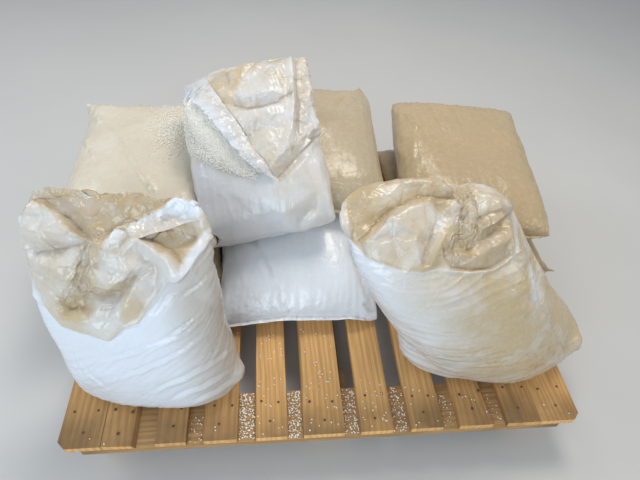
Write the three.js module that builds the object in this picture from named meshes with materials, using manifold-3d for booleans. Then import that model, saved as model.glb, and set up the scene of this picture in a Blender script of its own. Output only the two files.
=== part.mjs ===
// Pallet of sacks: a nine-block wooden pallet that carries nine plastic-film sacks of pellets.
// Sizes in millimetres, +Z up, origin on the floor under the middle of the pallet.
// +X runs along the pallet's long side and +Y from its front edge to its back edge.
import * as THREE from 'three';
import { mergeVertices } from 'three/addons/utils/BufferGeometryUtils.js';
import Module from 'manifold-3d';

const wasm = await Module();
wasm.setup();

// Driving dimensions of the pallet
const PALLET_WIDTH = 1300;
const PALLET_DEPTH = 1100;
const BOARD_THICKNESS = 20;
const BLOCK_HEIGHT = 90;
const PALLET_HEIGHT = 3 * BOARD_THICKNESS + BLOCK_HEIGHT;
const CORNER_CHAMFER = 18;

// Deck boards run from front to back, and their widths and gaps are the uneven ones of sawn boards
const DECK_BOARD_WIDTHS = [100, 78, 73, 82, 78, 103, 83, 84, 91, 87, 110];
const DECK_BOARD_GAPS = [0, 46, 40, 44, 39, 40, 44, 42, 36, 0];

// Stringer boards run from left to right under the deck and stop short of its sides
const STRINGER_WIDTH = 129;
const STRINGER_SETBACK = 28;
const STRINGER_CHAMFER = 24;

// Blocks and bottom boards stand back from the edges
const BLOCK_WIDTH = 110;
const BLOCK_DEPTH = 129;
const BLOCK_FRONT_SETBACK = 62;
const BLOCK_SIDE_SETBACK = 40;
const BOTTOM_BOARD_WIDTH = 110;

// Every sack keeps this gap to what carries it and to its neighbours
const SEAT_GAP = 0.3;
const HEM_THICKNESS = 3;

// Looks of the materials
const wood = { color: 0xb08a5a, roughness: 0.8, metalness: 0 };
const wornWood = { color: 0x96714a, roughness: 0.85, metalness: 0 };
const whiteFilm = { color: 0xdfe3ea, roughness: 0.38, metalness: 0 };
const dustyFilm = { color: 0xc4ae8c, roughness: 0.42, metalness: 0 };
const creamFilm = { color: 0xd9cdb4, roughness: 0.42, metalness: 0 };
const pelletWhite = { color: 0xe9e2d2, roughness: 0.6, metalness: 0 };

// Closed solids for cutting one piece clear of another
function toSolid(geometry) {
  const merged = mergeVertices(stripToPosition(geometry), 1e-4);
  return new wasm.Manifold(new wasm.Mesh({
    numProp: 3,
    vertProperties: new Float32Array(merged.attributes.position.array),
    triVerts: new Uint32Array(merged.index.array),
  }));
}

function stripToPosition(geometry) {
  const bare = geometry.clone();
  bare.deleteAttribute('normal');
  bare.deleteAttribute('uv');
  return bare;
}

function toGeometry(solid) {
  const mesh = solid.getMesh();
  const geometry = new THREE.BufferGeometry();
  geometry.setAttribute('position', new THREE.BufferAttribute(mesh.vertProperties, 3));
  geometry.setIndex(new THREE.BufferAttribute(mesh.triVerts, 1));
  geometry.computeVertexNormals();
  return geometry;
}

function boxesMeet(one, other) {
  const a = one.boundingBox();
  const b = other.boundingBox();
  return [0, 1, 2].every((axis) => a.min[axis] < b.max[axis] && b.min[axis] < a.max[axis]);
}

function largestPart(solid) {
  const parts = solid.decompose();
  parts.sort((one, other) => other.volume() - one.volume());
  return parts[0];
}

// Cuts a piece clear of the pieces that were laid before it: each of them is taken away where it
// lies, then shifted by the gap to every side and lifted by the gap
function fitAround(geometry, neighbours) {
  const g = SEAT_GAP;
  const shifts = [[0, 0, 0], [g, 0, 0], [-g, 0, 0], [0, g, 0], [0, -g, 0], [0, 0, g]];
  let solid = toSolid(geometry);
  for (const neighbour of neighbours.filter((other) => boxesMeet(solid, other))) {
    for (const shift of shifts) {
      solid = solid.subtract(neighbour.translate(shift));
    }
  }
  return largestPart(solid);
}

// Wooden boards and blocks
function boardGeometry(width, depth, thickness, corners) {
  const outline = new THREE.Shape();
  const x = width / 2;
  const y = depth / 2;
  const cut = { frontLeft: 0, frontRight: 0, backLeft: 0, backRight: 0, ...corners };
  const points = [
    [-x + cut.frontLeft, -y], [x - cut.frontRight, -y], [x, -y + cut.frontRight],
    [x, y - cut.backRight], [x - cut.backRight, y], [-x + cut.backLeft, y],
    [-x, y - cut.backLeft], [-x, -y + cut.frontLeft],
  ];
  outline.setFromPoints(points.map(([px, py]) => new THREE.Vector2(px, py)));
  return mergeVertices(stripToPosition(
    new THREE.ExtrudeGeometry(outline, { depth: thickness, bevelEnabled: false }),
  ), 1e-4);
}

function named(name, geometry, look) {
  const mesh = new THREE.Mesh(geometry, new THREE.MeshStandardMaterial(look));
  mesh.name = name;
  return mesh;
}

function twoDigits(number) {
  return String(number).padStart(2, '0');
}

function makeDeck() {
  const deck = new THREE.Group();
  const last = DECK_BOARD_WIDTHS.length - 1;
  let left = -PALLET_WIDTH / 2;
  DECK_BOARD_WIDTHS.forEach((width, index) => {
    const corners = {};
    if (index === 0) {
      corners.frontLeft = CORNER_CHAMFER;
      corners.backLeft = CORNER_CHAMFER;
    }
    if (index === last) {
      corners.frontRight = CORNER_CHAMFER;
      corners.backRight = CORNER_CHAMFER;
    }
    const shape = boardGeometry(width, PALLET_DEPTH, BOARD_THICKNESS, corners);
    const board = named(`deck_board_${twoDigits(index + 1)}`, shape, wood);
    board.position.set(left + width / 2, 0, PALLET_HEIGHT - BOARD_THICKNESS);
    deck.add(board);
    left += width + (DECK_BOARD_GAPS[index] || 0);
  });
  return deck;
}

function makeStringers() {
  const group = new THREE.Group();
  const length = PALLET_WIDTH - 2 * STRINGER_SETBACK;
  const offset = (PALLET_DEPTH - STRINGER_WIDTH) / 2;
  const cut = STRINGER_CHAMFER;
  const rows = [
    ['front', -offset, { frontLeft: cut, frontRight: cut }],
    ['middle', 0, {}],
    ['back', offset, { backLeft: cut, backRight: cut }],
  ];
  for (const [row, y, corners] of rows) {
    const shape = boardGeometry(length, STRINGER_WIDTH, BOARD_THICKNESS, corners);
    const board = named(`stringer_board_${row}`, shape, wornWood);
    board.position.set(0, y, PALLET_HEIGHT - 2 * BOARD_THICKNESS);
    group.add(board);
  }
  return group;
}

function makeBlocksAndBottomBoards() {
  const group = new THREE.Group();
  const xOffset = PALLET_WIDTH / 2 - BLOCK_SIDE_SETBACK - BLOCK_WIDTH / 2;
  const yOffset = PALLET_DEPTH / 2 - BLOCK_FRONT_SETBACK - BLOCK_DEPTH / 2;
  const columns = [['left', -xOffset], ['centre', 0], ['right', xOffset]];
  const rows = [['front', -yOffset], ['middle', 0], ['back', yOffset]];
  const bottomLength = PALLET_DEPTH - 2 * BLOCK_FRONT_SETBACK;
  for (const [column, x] of columns) {
    for (const [row, y] of rows) {
      const block = named(
        `block_${row}_${column}`,
        boardGeometry(BLOCK_WIDTH, BLOCK_DEPTH, BLOCK_HEIGHT, {}),
        wornWood,
      );
      block.position.set(x, y, BOARD_THICKNESS);
      group.add(block);
    }
    const bottom = named(
      `bottom_board_${column}`,
      boardGeometry(BOTTOM_BOARD_WIDTH, bottomLength, BOARD_THICKNESS, {}),
      wornWood,
    );
    bottom.position.set(x, 0, 0);
    group.add(bottom);
  }
  return group;
}

// A lying sack: two grids of points, the top and the underside, that meet in a thin flat hem.
// u runs from the near end to the far end and v from the left side to the right side, from -1 to 1.
const LYING_ROWS = 18;
const LYING_COLUMNS = 14;

function gridIndex(index, start, flip) {
  for (let row = 0; row < LYING_ROWS; row += 1) {
    for (let column = 0; column < LYING_COLUMNS; column += 1) {
      const a = start + row * (LYING_COLUMNS + 1) + column;
      const b = a + 1;
      const c = a + LYING_COLUMNS + 1;
      const d = c + 1;
      if (flip) {
        index.push(a, c, b, b, c, d);
      } else {
        index.push(a, b, c, b, d, c);
      }
    }
  }
}

// The points of a grid's edge, in order round it
function rimLoop() {
  const loop = [];
  const width = LYING_COLUMNS + 1;
  for (let column = 0; column < LYING_COLUMNS; column += 1) {
    loop.push(column);
  }
  for (let row = 0; row < LYING_ROWS; row += 1) {
    loop.push(row * width + LYING_COLUMNS);
  }
  for (let column = LYING_COLUMNS; column > 0; column -= 1) {
    loop.push(LYING_ROWS * width + column);
  }
  for (let row = LYING_ROWS; row > 0; row -= 1) {
    loop.push(row * width);
  }
  return loop;
}

function dome(t, power, root) {
  return Math.max(0, 1 - Math.abs(t) ** power) ** (1 / root);
}

function lyingSackGeometry(form) {
  const positions = [];
  const index = [];
  const undersidePower = 7;
  for (const side of [1, -1]) {
    for (let row = 0; row <= LYING_ROWS; row += 1) {
      const u = Math.sin((Math.PI / 2) * ((2 * row) / LYING_ROWS - 1));
      for (let column = 0; column <= LYING_COLUMNS; column += 1) {
        const v = Math.sin((Math.PI / 2) * ((2 * column) / LYING_COLUMNS - 1));
        const earStretch = 1 + form.ears * Math.abs(u) ** 10;
        const hemLift = form.earLift * Math.abs(u * v) ** 6;
        const rimHeight = THREE.MathUtils.lerp(form.nearRim, form.farRim, (u + 1) / 2) + hemLift;
        const over = dome(u, form.endPower, 2) * dome(v, form.sidePower, 2);
        const under = dome(u, undersidePower, 2) * dome(v, undersidePower, 2);
        const topRim = rimHeight + HEM_THICKNESS / 2;
        const lowRim = rimHeight - HEM_THICKNESS / 2;
        const z = side > 0 ? topRim + (form.thickness - topRim) * over : lowRim * (1 - under);
        positions.push((v * form.width * earStretch) / 2, (u * form.length) / 2, z);
      }
    }
  }
  const gridSize = (LYING_ROWS + 1) * (LYING_COLUMNS + 1);
  gridIndex(index, 0, false);
  gridIndex(index, gridSize, true);
  const loop = rimLoop();
  loop.forEach((from, place) => {
    const to = loop[(place + 1) % loop.length];
    index.push(from, from + gridSize, to, to, from + gridSize, to + gridSize);
  });
  const geometry = new THREE.BufferGeometry();
  geometry.setAttribute('position', new THREE.Float32BufferAttribute(positions, 3));
  geometry.setIndex(index);
  return geometry;
}

// Turns a sack about its own middle, lifts its far end and its right side, and sets it in its place
function placed(geometry, place) {
  const turn = new THREE.Euler(
    THREE.MathUtils.degToRad(place.pitch || 0),
    THREE.MathUtils.degToRad(-(place.roll || 0)),
    THREE.MathUtils.degToRad(place.yaw || 0),
    'ZXY',
  );
  const matrix = new THREE.Matrix4().makeRotationFromEuler(turn);
  matrix.setPosition(place.x, place.y, place.z);
  return geometry.applyMatrix4(matrix);
}

// A standing sack: a smooth loft through a few level sections, from its base to inside its mouth.
// Each section has its middle, its half width and half depth, how far its back and left edges are
// raised per 100 mm, and its twist, the degrees by which it is turned further than the whole sack.
const STANDING_SEGMENTS = 44;
const STANDING_STEPS = 4;

function smoothBetween(sections, key, t) {
  const position = t * (sections.length - 1);
  const i = Math.min(Math.floor(position), sections.length - 2);
  const f = position - i;
  const at = (n) => sections[THREE.MathUtils.clamp(n, 0, sections.length - 1)][key] || 0;
  const slopeIn = (at(i + 1) - at(i - 1)) / 2;
  const slopeOut = (at(i + 2) - at(i)) / 2;
  const blend = f * f * (3 - 2 * f);
  const lean = f * (1 - f);
  return at(i) * (1 - blend) + at(i + 1) * blend + lean * ((1 - f) * slopeIn - f * slopeOut);
}

function standingSackGeometry(form) {
  const positions = [];
  const index = [];
  const rings = (form.sections.length - 1) * STANDING_STEPS;
  const first = form.sections[0];
  positions.push(first.x, first.y, first.z);
  for (let ring = 0; ring <= rings; ring += 1) {
    const value = (key) => smoothBetween(form.sections, key, ring / rings);
    const turn = THREE.MathUtils.degToRad(form.turn + value('twist'));
    for (let segment = 0; segment < STANDING_SEGMENTS; segment += 1) {
      const angle = (2 * Math.PI * segment) / STANDING_SEGMENTS;
      const power = 2 / value('squareness');
      const cosine = Math.cos(angle);
      const sine = Math.sin(angle);
      const dx = value('halfWidth') * Math.sign(cosine) * Math.abs(cosine) ** power;
      const dy = value('halfDepth') * Math.sign(sine) * Math.abs(sine) ** power;
      const rise = (value('backRise') * dy + value('leftRise') * -dx) / 100;
      const turned = new THREE.Vector2(dx, dy).rotateAround(new THREE.Vector2(), turn);
      positions.push(value('x') + turned.x, value('y') + turned.y, value('z') + rise);
    }
  }
  const last = form.sections[form.sections.length - 1];
  positions.push(last.x, last.y, last.z);
  const topMiddle = positions.length / 3 - 1;
  for (let segment = 0; segment < STANDING_SEGMENTS; segment += 1) {
    const next = (segment + 1) % STANDING_SEGMENTS;
    index.push(0, 1 + next, 1 + segment);
    const top = 1 + rings * STANDING_SEGMENTS;
    index.push(topMiddle, top + segment, top + next);
    for (let ring = 0; ring < rings; ring += 1) {
      const low = 1 + ring * STANDING_SEGMENTS;
      const high = low + STANDING_SEGMENTS;
      index.push(low + segment, low + next, high + segment);
      index.push(low + next, high + next, high + segment);
    }
  }
  const geometry = new THREE.BufferGeometry();
  geometry.setAttribute('position', new THREE.Float32BufferAttribute(positions, 3));
  geometry.setIndex(index);
  pressFolds(geometry, form.folds);
  return geometry;
}

// The main folds of a standing sack. Each is a line over its film, along which the film rises, or
// sinks where the height is negative, by a bell curve of the given width. The base stays flat.
function pressFolds(geometry, folds) {
  geometry.computeVertexNormals();
  const position = geometry.attributes.position;
  const normal = geometry.attributes.normal;
  const point = new THREE.Vector3();
  const outward = new THREE.Vector3();
  for (let vertex = 0; vertex < position.count; vertex += 1) {
    point.fromBufferAttribute(position, vertex);
    outward.fromBufferAttribute(normal, vertex);
    const rise = folds.reduce((sum, fold) => {
      const reach = distanceToLine(point, fold.line) / fold.width;
      return sum + fold.height * Math.exp(-(reach ** 2));
    }, 0);
    if (point.z > 0) {
      point.addScaledVector(outward, rise);
      position.setXYZ(vertex, point.x, point.y, point.z);
    }
  }
}

function distanceToLine(point, line) {
  const corners = line.map((corner) => new THREE.Vector3(...corner));
  const nearest = new THREE.Vector3();
  let distance = Infinity;
  for (let i = 0; i < corners.length - 1; i += 1) {
    new THREE.Line3(corners[i], corners[i + 1]).closestPointToPoint(point, true, nearest);
    distance = Math.min(distance, nearest.distanceTo(point));
  }
  return distance;
}

// A heap of loose pellets: a low dome with a flat underside that is then cut to what it lies on
function heapGeometry(form) {
  const ball = new THREE.SphereGeometry(1, 18, 10);
  ball.scale(form.length / 2, form.width / 2, form.height);
  ball.rotateZ(THREE.MathUtils.degToRad(form.turn));
  return mergeVertices(stripToPosition(ball), 1e-4);
}

// Sacks of the load, in the order in which they were laid; places count from the middle of the
// pallet's front edge at deck level
const plainForm = {
  length: 640,
  width: 430,
  thickness: 150,
  nearRim: 62,
  farRim: 62,
  ears: 0.09,
  earLift: 0,
  endPower: 2.6,
  sidePower: 3.2,
};

const lyingSacks = [
  {
    name: 'sack_lower_left',
    look: dustyFilm,
    form: plainForm,
    place: { x: -500, y: 760, z: 0, yaw: 1 },
  },
  {
    name: 'sack_lower_right',
    look: dustyFilm,
    form: { ...plainForm, ears: 0.12 },
    place: { x: 490, y: 750, z: 0, yaw: 2 },
  },
  {
    name: 'sack_lower_centre',
    look: whiteFilm,
    form: { ...plainForm, length: 650, width: 470, thickness: 188, nearRim: 16, farRim: 70, ears: 0 },
    place: { x: -65, y: 634, z: 0, yaw: 0 },
  },
  {
    name: 'sack_back_left',
    look: creamFilm,
    form: { ...plainForm, length: 630, width: 430, thickness: 164, farRim: 118, earLift: 16, ears: 0.05 },
    place: { x: -512, y: 742, z: 146, yaw: 2 },
  },
  {
    name: 'sack_back_right',
    look: dustyFilm,
    form: { ...plainForm, length: 620, width: 452, thickness: 156, farRim: 96, ears: -0.02 },
    place: { x: 492, y: 782, z: 149, yaw: -7 },
  },
  {
    name: 'sack_back_centre',
    look: dustyFilm,
    form: { ...plainForm, length: 570, width: 430, thickness: 172, farRim: 122, earLift: 30, ears: -0.16 },
    place: { x: 0, y: 842, z: 166, yaw: -2 },
  },
  {
    name: 'sack_torn_top',
    look: creamFilm,
    form: {
      ...plainForm,
      length: 520,
      width: 380,
      thickness: 232,
      nearRim: 128,
      farRim: 128,
      ears: 0,
      endPower: 3,
    },
    place: { x: -158, y: 748, z: 238, yaw: 9, pitch: 26, roll: 15 },
  },
];

const standingSacks = [
  {
    name: 'sack_front_left_open',
    look: whiteFilm,
    turn: -6,
    sections: [
      { x: -436, y: 180, z: 0, halfWidth: 176, halfDepth: 78, squareness: 2.6 },
      { x: -432, y: 178, z: 22, halfWidth: 203, halfDepth: 100, squareness: 2.5 },
      { x: -434, y: 180, z: 110, halfWidth: 205, halfDepth: 109, squareness: 2.5 },
      { x: -437, y: 182, z: 220, halfWidth: 194, halfDepth: 108, squareness: 2.5, backRise: 4 },
      { x: -443, y: 187, z: 325, halfWidth: 192, halfDepth: 100, squareness: 2.4, backRise: 14 },
      { x: -448, y: 206, z: 420, halfWidth: 186, halfDepth: 84, squareness: 2.3, backRise: 36 },
      { x: -446, y: 234, z: 508, halfWidth: 176, halfDepth: 56, squareness: 2.2, backRise: 58, twist: 3 },
      {
        x: -404, y: 230, z: 508, halfWidth: 72, halfDepth: 18, squareness: 2.2,
        backRise: 26, leftRise: -20, twist: 18,
      },
      { x: -404, y: 233, z: 480, halfWidth: 56, halfDepth: 12, squareness: 2, twist: 18 },
    ],
    folds: [
      // the gather in front, from the mouth down to the cuff's edge
      {
        line: [[-504, 176, 461], [-517, 153, 426], [-547, 137, 387]],
        height: -18,
        width: 22,
      },
      // the lobe at the left and the flap behind it
      { line: [[-600, 200, 463], [-553, 195, 478]], height: -10, width: 18 },
      { line: [[-587, 275, 515], [-559, 264, 481], [-523, 249, 452]], height: 10, width: 18 },
      // the bulge right of the gather, with the hollow below it
      { line: [[-448, 167, 460], [-432, 184, 481]], height: 8, width: 22 },
      { line: [[-484, 141, 414], [-441, 135, 413], [-408, 152, 444]], height: -12, width: 16 },
      // the pocket in front of the mouth's lip, and the tip that hangs over the front
      { line: [[-380, 205, 495], [-345, 210, 500], [-305, 200, 495]], height: -16, width: 20 },
      { line: [[-343, 170, 471], [-326, 153, 442], [-318, 145, 425]], height: 14, width: 16 },
      // folds that hang from the rim at the sides and the back
      { line: [[-625, 235, 490], [-628, 200, 400]], height: -10, width: 22 },
      { line: [[-545, 315, 500], [-545, 300, 400]], height: -10, width: 22 },
      { line: [[-440, 310, 450], [-440, 300, 370]], height: -10, width: 22 },
      { line: [[-335, 300, 430], [-330, 290, 350]], height: -10, width: 22 },
    ],
  },
  {
    name: 'sack_front_right_tied',
    look: creamFilm,
    turn: 5,
    sections: [
      { x: 470, y: 226, z: 0, halfWidth: 208, halfDepth: 100, squareness: 2.2 },
      { x: 474, y: 227, z: 26, halfWidth: 266, halfDepth: 132, squareness: 1.7 },
      { x: 430, y: 244, z: 120, halfWidth: 250, halfDepth: 152, squareness: 2.05 },
      { x: 353, y: 260, z: 222, halfWidth: 236, halfDepth: 160, squareness: 2.4 },
      { x: 286, y: 280, z: 325, halfWidth: 224, halfDepth: 152, squareness: 2.7, backRise: 6 },
      { x: 242, y: 304, z: 402, halfWidth: 216, halfDepth: 128, squareness: 2.7, backRise: 14 },
      { x: 216, y: 328, z: 448, halfWidth: 192, halfDepth: 86, squareness: 2.6, backRise: 10 },
      { x: 222, y: 336, z: 460, halfWidth: 112, halfDepth: 44, squareness: 2.2, backRise: 6 },
    ],
    folds: [
      // the twist, from the back of the top down its front
      { line: [[314, 359, 461], [288, 267, 447], [255, 192, 399]], height: -18, width: 24 },
      // the long furrow to the left of the twist, between two ridges
      { line: [[270, 356, 461], [196, 360, 462], [112, 293, 457], [41, 243, 424]], height: -14, width: 20 },
      { line: [[258, 385, 463], [164, 395, 462], [85, 340, 455]], height: 8, width: 22 },
      { line: [[277, 332, 460], [176, 309, 459], [77, 244, 438]], height: 10, width: 18 },
      { line: [[280, 296, 457], [232, 229, 430], [198, 188, 399]], height: -8, width: 18 },
      // folds to the right of the twist
      { line: [[287, 220, 419], [362, 272, 441], [407, 303, 441]], height: -12, width: 16 },
      { line: [[334, 298, 454], [405, 319, 446]], height: 10, width: 18 },
      { line: [[291, 206, 408], [344, 201, 395], [394, 216, 394]], height: -10, width: 16 },
      // the dent at the right side and the roll above the base
      { line: [[457, 214, 358], [480, 164, 292]], height: -10, width: 18 },
      { line: [[214, 157, 116], [264, 134, 67], [347, 109, 31]], height: -12, width: 20 },
      // folds that hang from the twist at the back
      { line: [[180, 440, 440], [230, 430, 330]], height: -12, width: 24 },
      { line: [[300, 430, 440], [330, 420, 330]], height: -12, width: 24 },
      { line: [[420, 380, 420], [450, 370, 320]], height: -10, width: 24 },
    ],
  },
];

const pelletHeaps = [
  {
    name: 'pellet_heap_torn_sack',
    form: { length: 320, width: 124, height: 30, turn: -62 },
    place: { x: -264, y: 652, z: 414, yaw: 9, pitch: 26, roll: 15 },
  },
  {
    name: 'pellet_heap_open_sack',
    form: { length: 100, width: 28, height: 14, turn: 0 },
    place: { x: -404, y: 233, z: 489, yaw: 12 },
  },
];

function makeLoad() {
  const load = new THREE.Group();
  load.position.set(0, -PALLET_DEPTH / 2, PALLET_HEIGHT + SEAT_GAP);
  const laid = new Map();
  const lay = (name, geometry, look, neighbours) => {
    const solid = fitAround(geometry, neighbours);
    laid.set(name, solid);
    load.add(named(name, toGeometry(solid), look));
  };
  for (const sack of lyingSacks) {
    lay(sack.name, placed(lyingSackGeometry(sack.form), sack.place), sack.look, [...laid.values()]);
  }
  for (const sack of standingSacks) {
    lay(sack.name, standingSackGeometry(sack), sack.look, [...laid.values()]);
  }
  for (const heap of pelletHeaps) {
    lay(heap.name, placed(heapGeometry(heap.form), heap.place), pelletWhite, [...laid.values()]);
  }
  return load;
}

const palletOfSacks = new THREE.Group();
palletOfSacks.name = 'pallet_of_sacks';
palletOfSacks.add(makeDeck(), makeStringers(), makeBlocksAndBottomBoards(), makeLoad());

export default palletOfSacks;
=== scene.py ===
# %% [markdown]
# # A wooden pallet with film sacks of plastic pellets
# The real thing is a nine-block pallet that carries nine sacks of polymer pellets. Most lie
# flat, two stand upright, one is torn and one is open at its mouth.
# This lesson dresses a measured solid model of it. The solids say where each piece is. The
# cells below build the surfaces that a camera sees: sawn boards, nails, wrinkled film, pellets.

# %% Load the measured frame
import itertools
import math
import random

import bmesh
import bpy
import numpy as np
from mathutils import Matrix, Vector
from mathutils.bvhtree import BVHTree
from mathutils.geometry import delaunay_2d_cdt


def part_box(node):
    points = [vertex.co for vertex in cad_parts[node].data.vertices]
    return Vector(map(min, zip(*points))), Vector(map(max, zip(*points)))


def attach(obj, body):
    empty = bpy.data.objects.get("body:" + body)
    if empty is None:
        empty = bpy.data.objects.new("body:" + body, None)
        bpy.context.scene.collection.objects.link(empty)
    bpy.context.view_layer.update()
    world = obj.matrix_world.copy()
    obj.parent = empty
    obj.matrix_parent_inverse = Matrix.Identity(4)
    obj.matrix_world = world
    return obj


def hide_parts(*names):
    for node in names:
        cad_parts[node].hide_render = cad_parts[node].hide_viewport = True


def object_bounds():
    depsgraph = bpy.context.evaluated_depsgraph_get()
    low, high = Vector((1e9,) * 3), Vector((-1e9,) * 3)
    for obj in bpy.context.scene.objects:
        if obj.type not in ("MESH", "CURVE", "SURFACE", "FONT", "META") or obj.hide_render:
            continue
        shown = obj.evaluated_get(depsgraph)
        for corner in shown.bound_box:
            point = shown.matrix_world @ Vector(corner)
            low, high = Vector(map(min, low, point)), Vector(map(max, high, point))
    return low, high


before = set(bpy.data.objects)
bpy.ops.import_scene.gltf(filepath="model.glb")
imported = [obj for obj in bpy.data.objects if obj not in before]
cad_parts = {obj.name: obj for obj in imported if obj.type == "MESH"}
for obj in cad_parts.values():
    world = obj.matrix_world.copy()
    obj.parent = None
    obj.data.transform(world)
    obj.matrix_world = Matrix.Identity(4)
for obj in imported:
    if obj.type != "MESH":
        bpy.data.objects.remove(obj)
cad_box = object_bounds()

MM = 0.001
DECK_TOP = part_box("deck_board_01")[1].z
SACK_NODES = sorted(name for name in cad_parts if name.startswith("sack_"))
print("pieces in the frame:", len(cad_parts), "sacks:", len(SACK_NODES))

# %% [markdown]
# Blender's operators act on what is selected. These helpers select, and make new objects.

# %% Objects and selection
def deselect_all():
    """Leaves edit mode and selects nothing."""
    if bpy.context.object and bpy.context.object.mode != "OBJECT":
        bpy.ops.object.mode_set(mode="OBJECT")
    bpy.ops.object.select_all(action="DESELECT")


def only(obj):
    """Makes this object the only one that operators act on."""
    deselect_all()
    obj.select_set(True)
    bpy.context.view_layer.objects.active = obj


def edit_all(obj):
    """Edit mode on this object with all of it selected."""
    only(obj)
    bpy.ops.object.mode_set(mode="EDIT")
    bpy.ops.mesh.select_all(action="SELECT")


def new_object(name, data):
    """An object with this mesh, light or camera, in the scene."""
    obj = bpy.data.objects.new(name, data)
    bpy.context.scene.collection.objects.link(obj)
    return obj


def mesh_object(name, points, faces):
    """An object with a new mesh of these points and faces."""
    mesh = bpy.data.meshes.new(name)
    mesh.from_pydata(points, [], faces)
    return new_object(name, mesh)


print("blender", bpy.app.version_string)

# %% [markdown]
# ## The camera
# The photograph was taken from above the front edge, looking down at the load. Twenty board
# edges gave the place, the heading, the tilt and the focal length in pixels. Blender wants a
# lens in millimetres on a 36 mm sensor, which is the same ratio.

# %% Place the camera
EYE = Vector((-0.145, -1.044, 1.363))
HEADING = math.radians(8.384)
LOOK_DOWN = math.radians(46.205)
TILT = math.radians(4.968)
FOCAL_PIXELS = 500
IMAGE_WIDTH, IMAGE_HEIGHT = 640, 480
SENSOR_WIDTH = 36

forward = Vector((math.sin(HEADING) * math.cos(LOOK_DOWN),
                  math.cos(HEADING) * math.cos(LOOK_DOWN),
                  -math.sin(LOOK_DOWN)))
level_right = forward.cross(Vector((0, 0, 1))).normalized()
level_up = level_right.cross(forward)
camera_right = math.cos(TILT) * level_right + math.sin(TILT) * level_up
camera_up = math.cos(TILT) * level_up - math.sin(TILT) * level_right

camera_data = bpy.data.cameras.new("camera")
camera_data.sensor_width = SENSOR_WIDTH
camera_data.lens = FOCAL_PIXELS / IMAGE_WIDTH * SENSOR_WIDTH
camera = new_object("camera", camera_data)
turn = Matrix((camera_right, camera_up, -forward)).transposed().to_4x4()
camera.matrix_world = Matrix.Translation(EYE) @ turn
bpy.context.scene.camera = camera
print("lens", round(camera_data.lens, 3), "mm")

# %% [markdown]
# Folds are easiest to place where the photograph shows them. These helpers turn a pixel into
# the point of a skin that it shows, or into the point at a known height above the deck.

# %% From pixels to points
def pixel_ray(pixel):
    """The direction in which the camera sees this pixel."""
    across = pixel[0] - IMAGE_WIDTH / 2
    down = pixel[1] - IMAGE_HEIGHT / 2
    return (forward * FOCAL_PIXELS + camera_right * across - camera_up * down).normalized()


def at_height(pixel, height):
    """The point seen at this pixel if it lies this far above the deck."""
    ray = pixel_ray(pixel)
    return EYE + ray * ((DECK_TOP + height - EYE.z) / ray.z)


def on_skin(tree, pixels):
    """The points where these pixels meet a skin. A pixel that misses it is dropped."""
    hits = (tree.ray_cast(EYE, pixel_ray(pixel))[0] for pixel in pixels)
    return [hit for hit in hits if hit is not None]


def to_pixels(points):
    """Where the camera sees each row of an array of points."""
    reach = points - np.array(EYE)
    depth = reach @ np.array(forward)
    across = reach @ np.array(camera_right) / depth
    rise = reach @ np.array(camera_up) / depth
    return np.stack([IMAGE_WIDTH / 2 + FOCAL_PIXELS * across,
                     IMAGE_HEIGHT / 2 - FOCAL_PIXELS * rise], axis=1)


print("the middle pixel meets the deck at", at_height((320, 240), 0))

# %% [markdown]
# ## Floor and light
# A plain pale floor and soft light show the shapes. In the photograph cool light comes from
# behind the camera and warm light from above, so the white film looks bluish in front and the
# dusty tops look warm. Five soft boxes and a pale sky repeat that.

# %% Floor and soft boxes
FLOOR_SIZE = 14


def soft_box(name, place, target, size, energy, colour):
    """A square area light that faces a target."""
    data = bpy.data.lights.new(name, "AREA")
    data.size = size
    data.energy = energy
    data.color = colour
    light = new_object(name, data)
    light.location = place
    aim = Vector(target) - Vector(place)
    light.rotation_euler = aim.to_track_quat("-Z", "Y").to_euler()


deselect_all()
bpy.ops.mesh.primitive_plane_add(size=FLOOR_SIZE)
floor = bpy.context.object
floor.name = "studio_floor"
soft_box("lamp_above", (0.6, 0.9, 3.0), (0, 0.1, 0.3), 1.2, 40, (1.0, 0.94, 0.84))
soft_box("daylight_front", (-1.1, -3.0, 1.9), (0, -0.1, 0.35), 2.0, 63, (0.80, 0.91, 1.0))
soft_box("lamp_right", (2.4, -0.9, 2.0), (0.2, 0, 0.3), 1.0, 8, (1.0, 0.86, 0.68))
soft_box("glint_lamp", (0.25, 2.3, 2.5), (0, 0.2, 0.3), 0.4, 7, (1.0, 0.96, 0.90))
soft_box("daylight_left", (-3.0, 0.9, 2.2), (0, 0, 0.3), 1.4, 26, (0.95, 0.97, 1.0))
world = bpy.data.worlds.new("studio")
world.use_nodes = True
sky = world.node_tree.nodes["Background"].inputs
sky["Color"].default_value = (0.80, 0.85, 0.92, 1)
sky["Strength"].default_value = 0.43
bpy.context.scene.world = world
bpy.context.scene.view_settings.view_transform = "Standard"

# %% [markdown]
# ## Node groups that the finishes share
# Wood, film and pellets all get dust, and every film has creases and the print of the pellets
# behind it. Each effect is a node group with named inputs, built once. A group puts out only
# masks, heights and values. The shader stays in the material, where an exporter can read it.

# %% Small helpers for node trees
def new_group(name, inputs, outputs):
    """An empty node group with these sockets, as (name, type, default) and (name, type)."""
    group = bpy.data.node_groups.new(name, "ShaderNodeTree")
    for title, kind, default in inputs:
        socket = group.interface.new_socket(title, in_out="INPUT", socket_type=kind)
        if default is not None:
            socket.default_value = default
    for title, kind in outputs:
        group.interface.new_socket(title, in_out="OUTPUT", socket_type=kind)
    return group, group.nodes.new("NodeGroupInput"), group.nodes.new("NodeGroupOutput")


def add(tree, kind, values=None, **settings):
    """A node with its settings, and with values or links for its inputs."""
    node = tree.nodes.new(kind)
    for key, value in settings.items():
        setattr(node, key, value)
    for key, value in (values or {}).items():
        if isinstance(value, bpy.types.NodeSocket):
            tree.links.new(value, node.inputs[key])
        else:
            node.inputs[key].default_value = value
    return node


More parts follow.
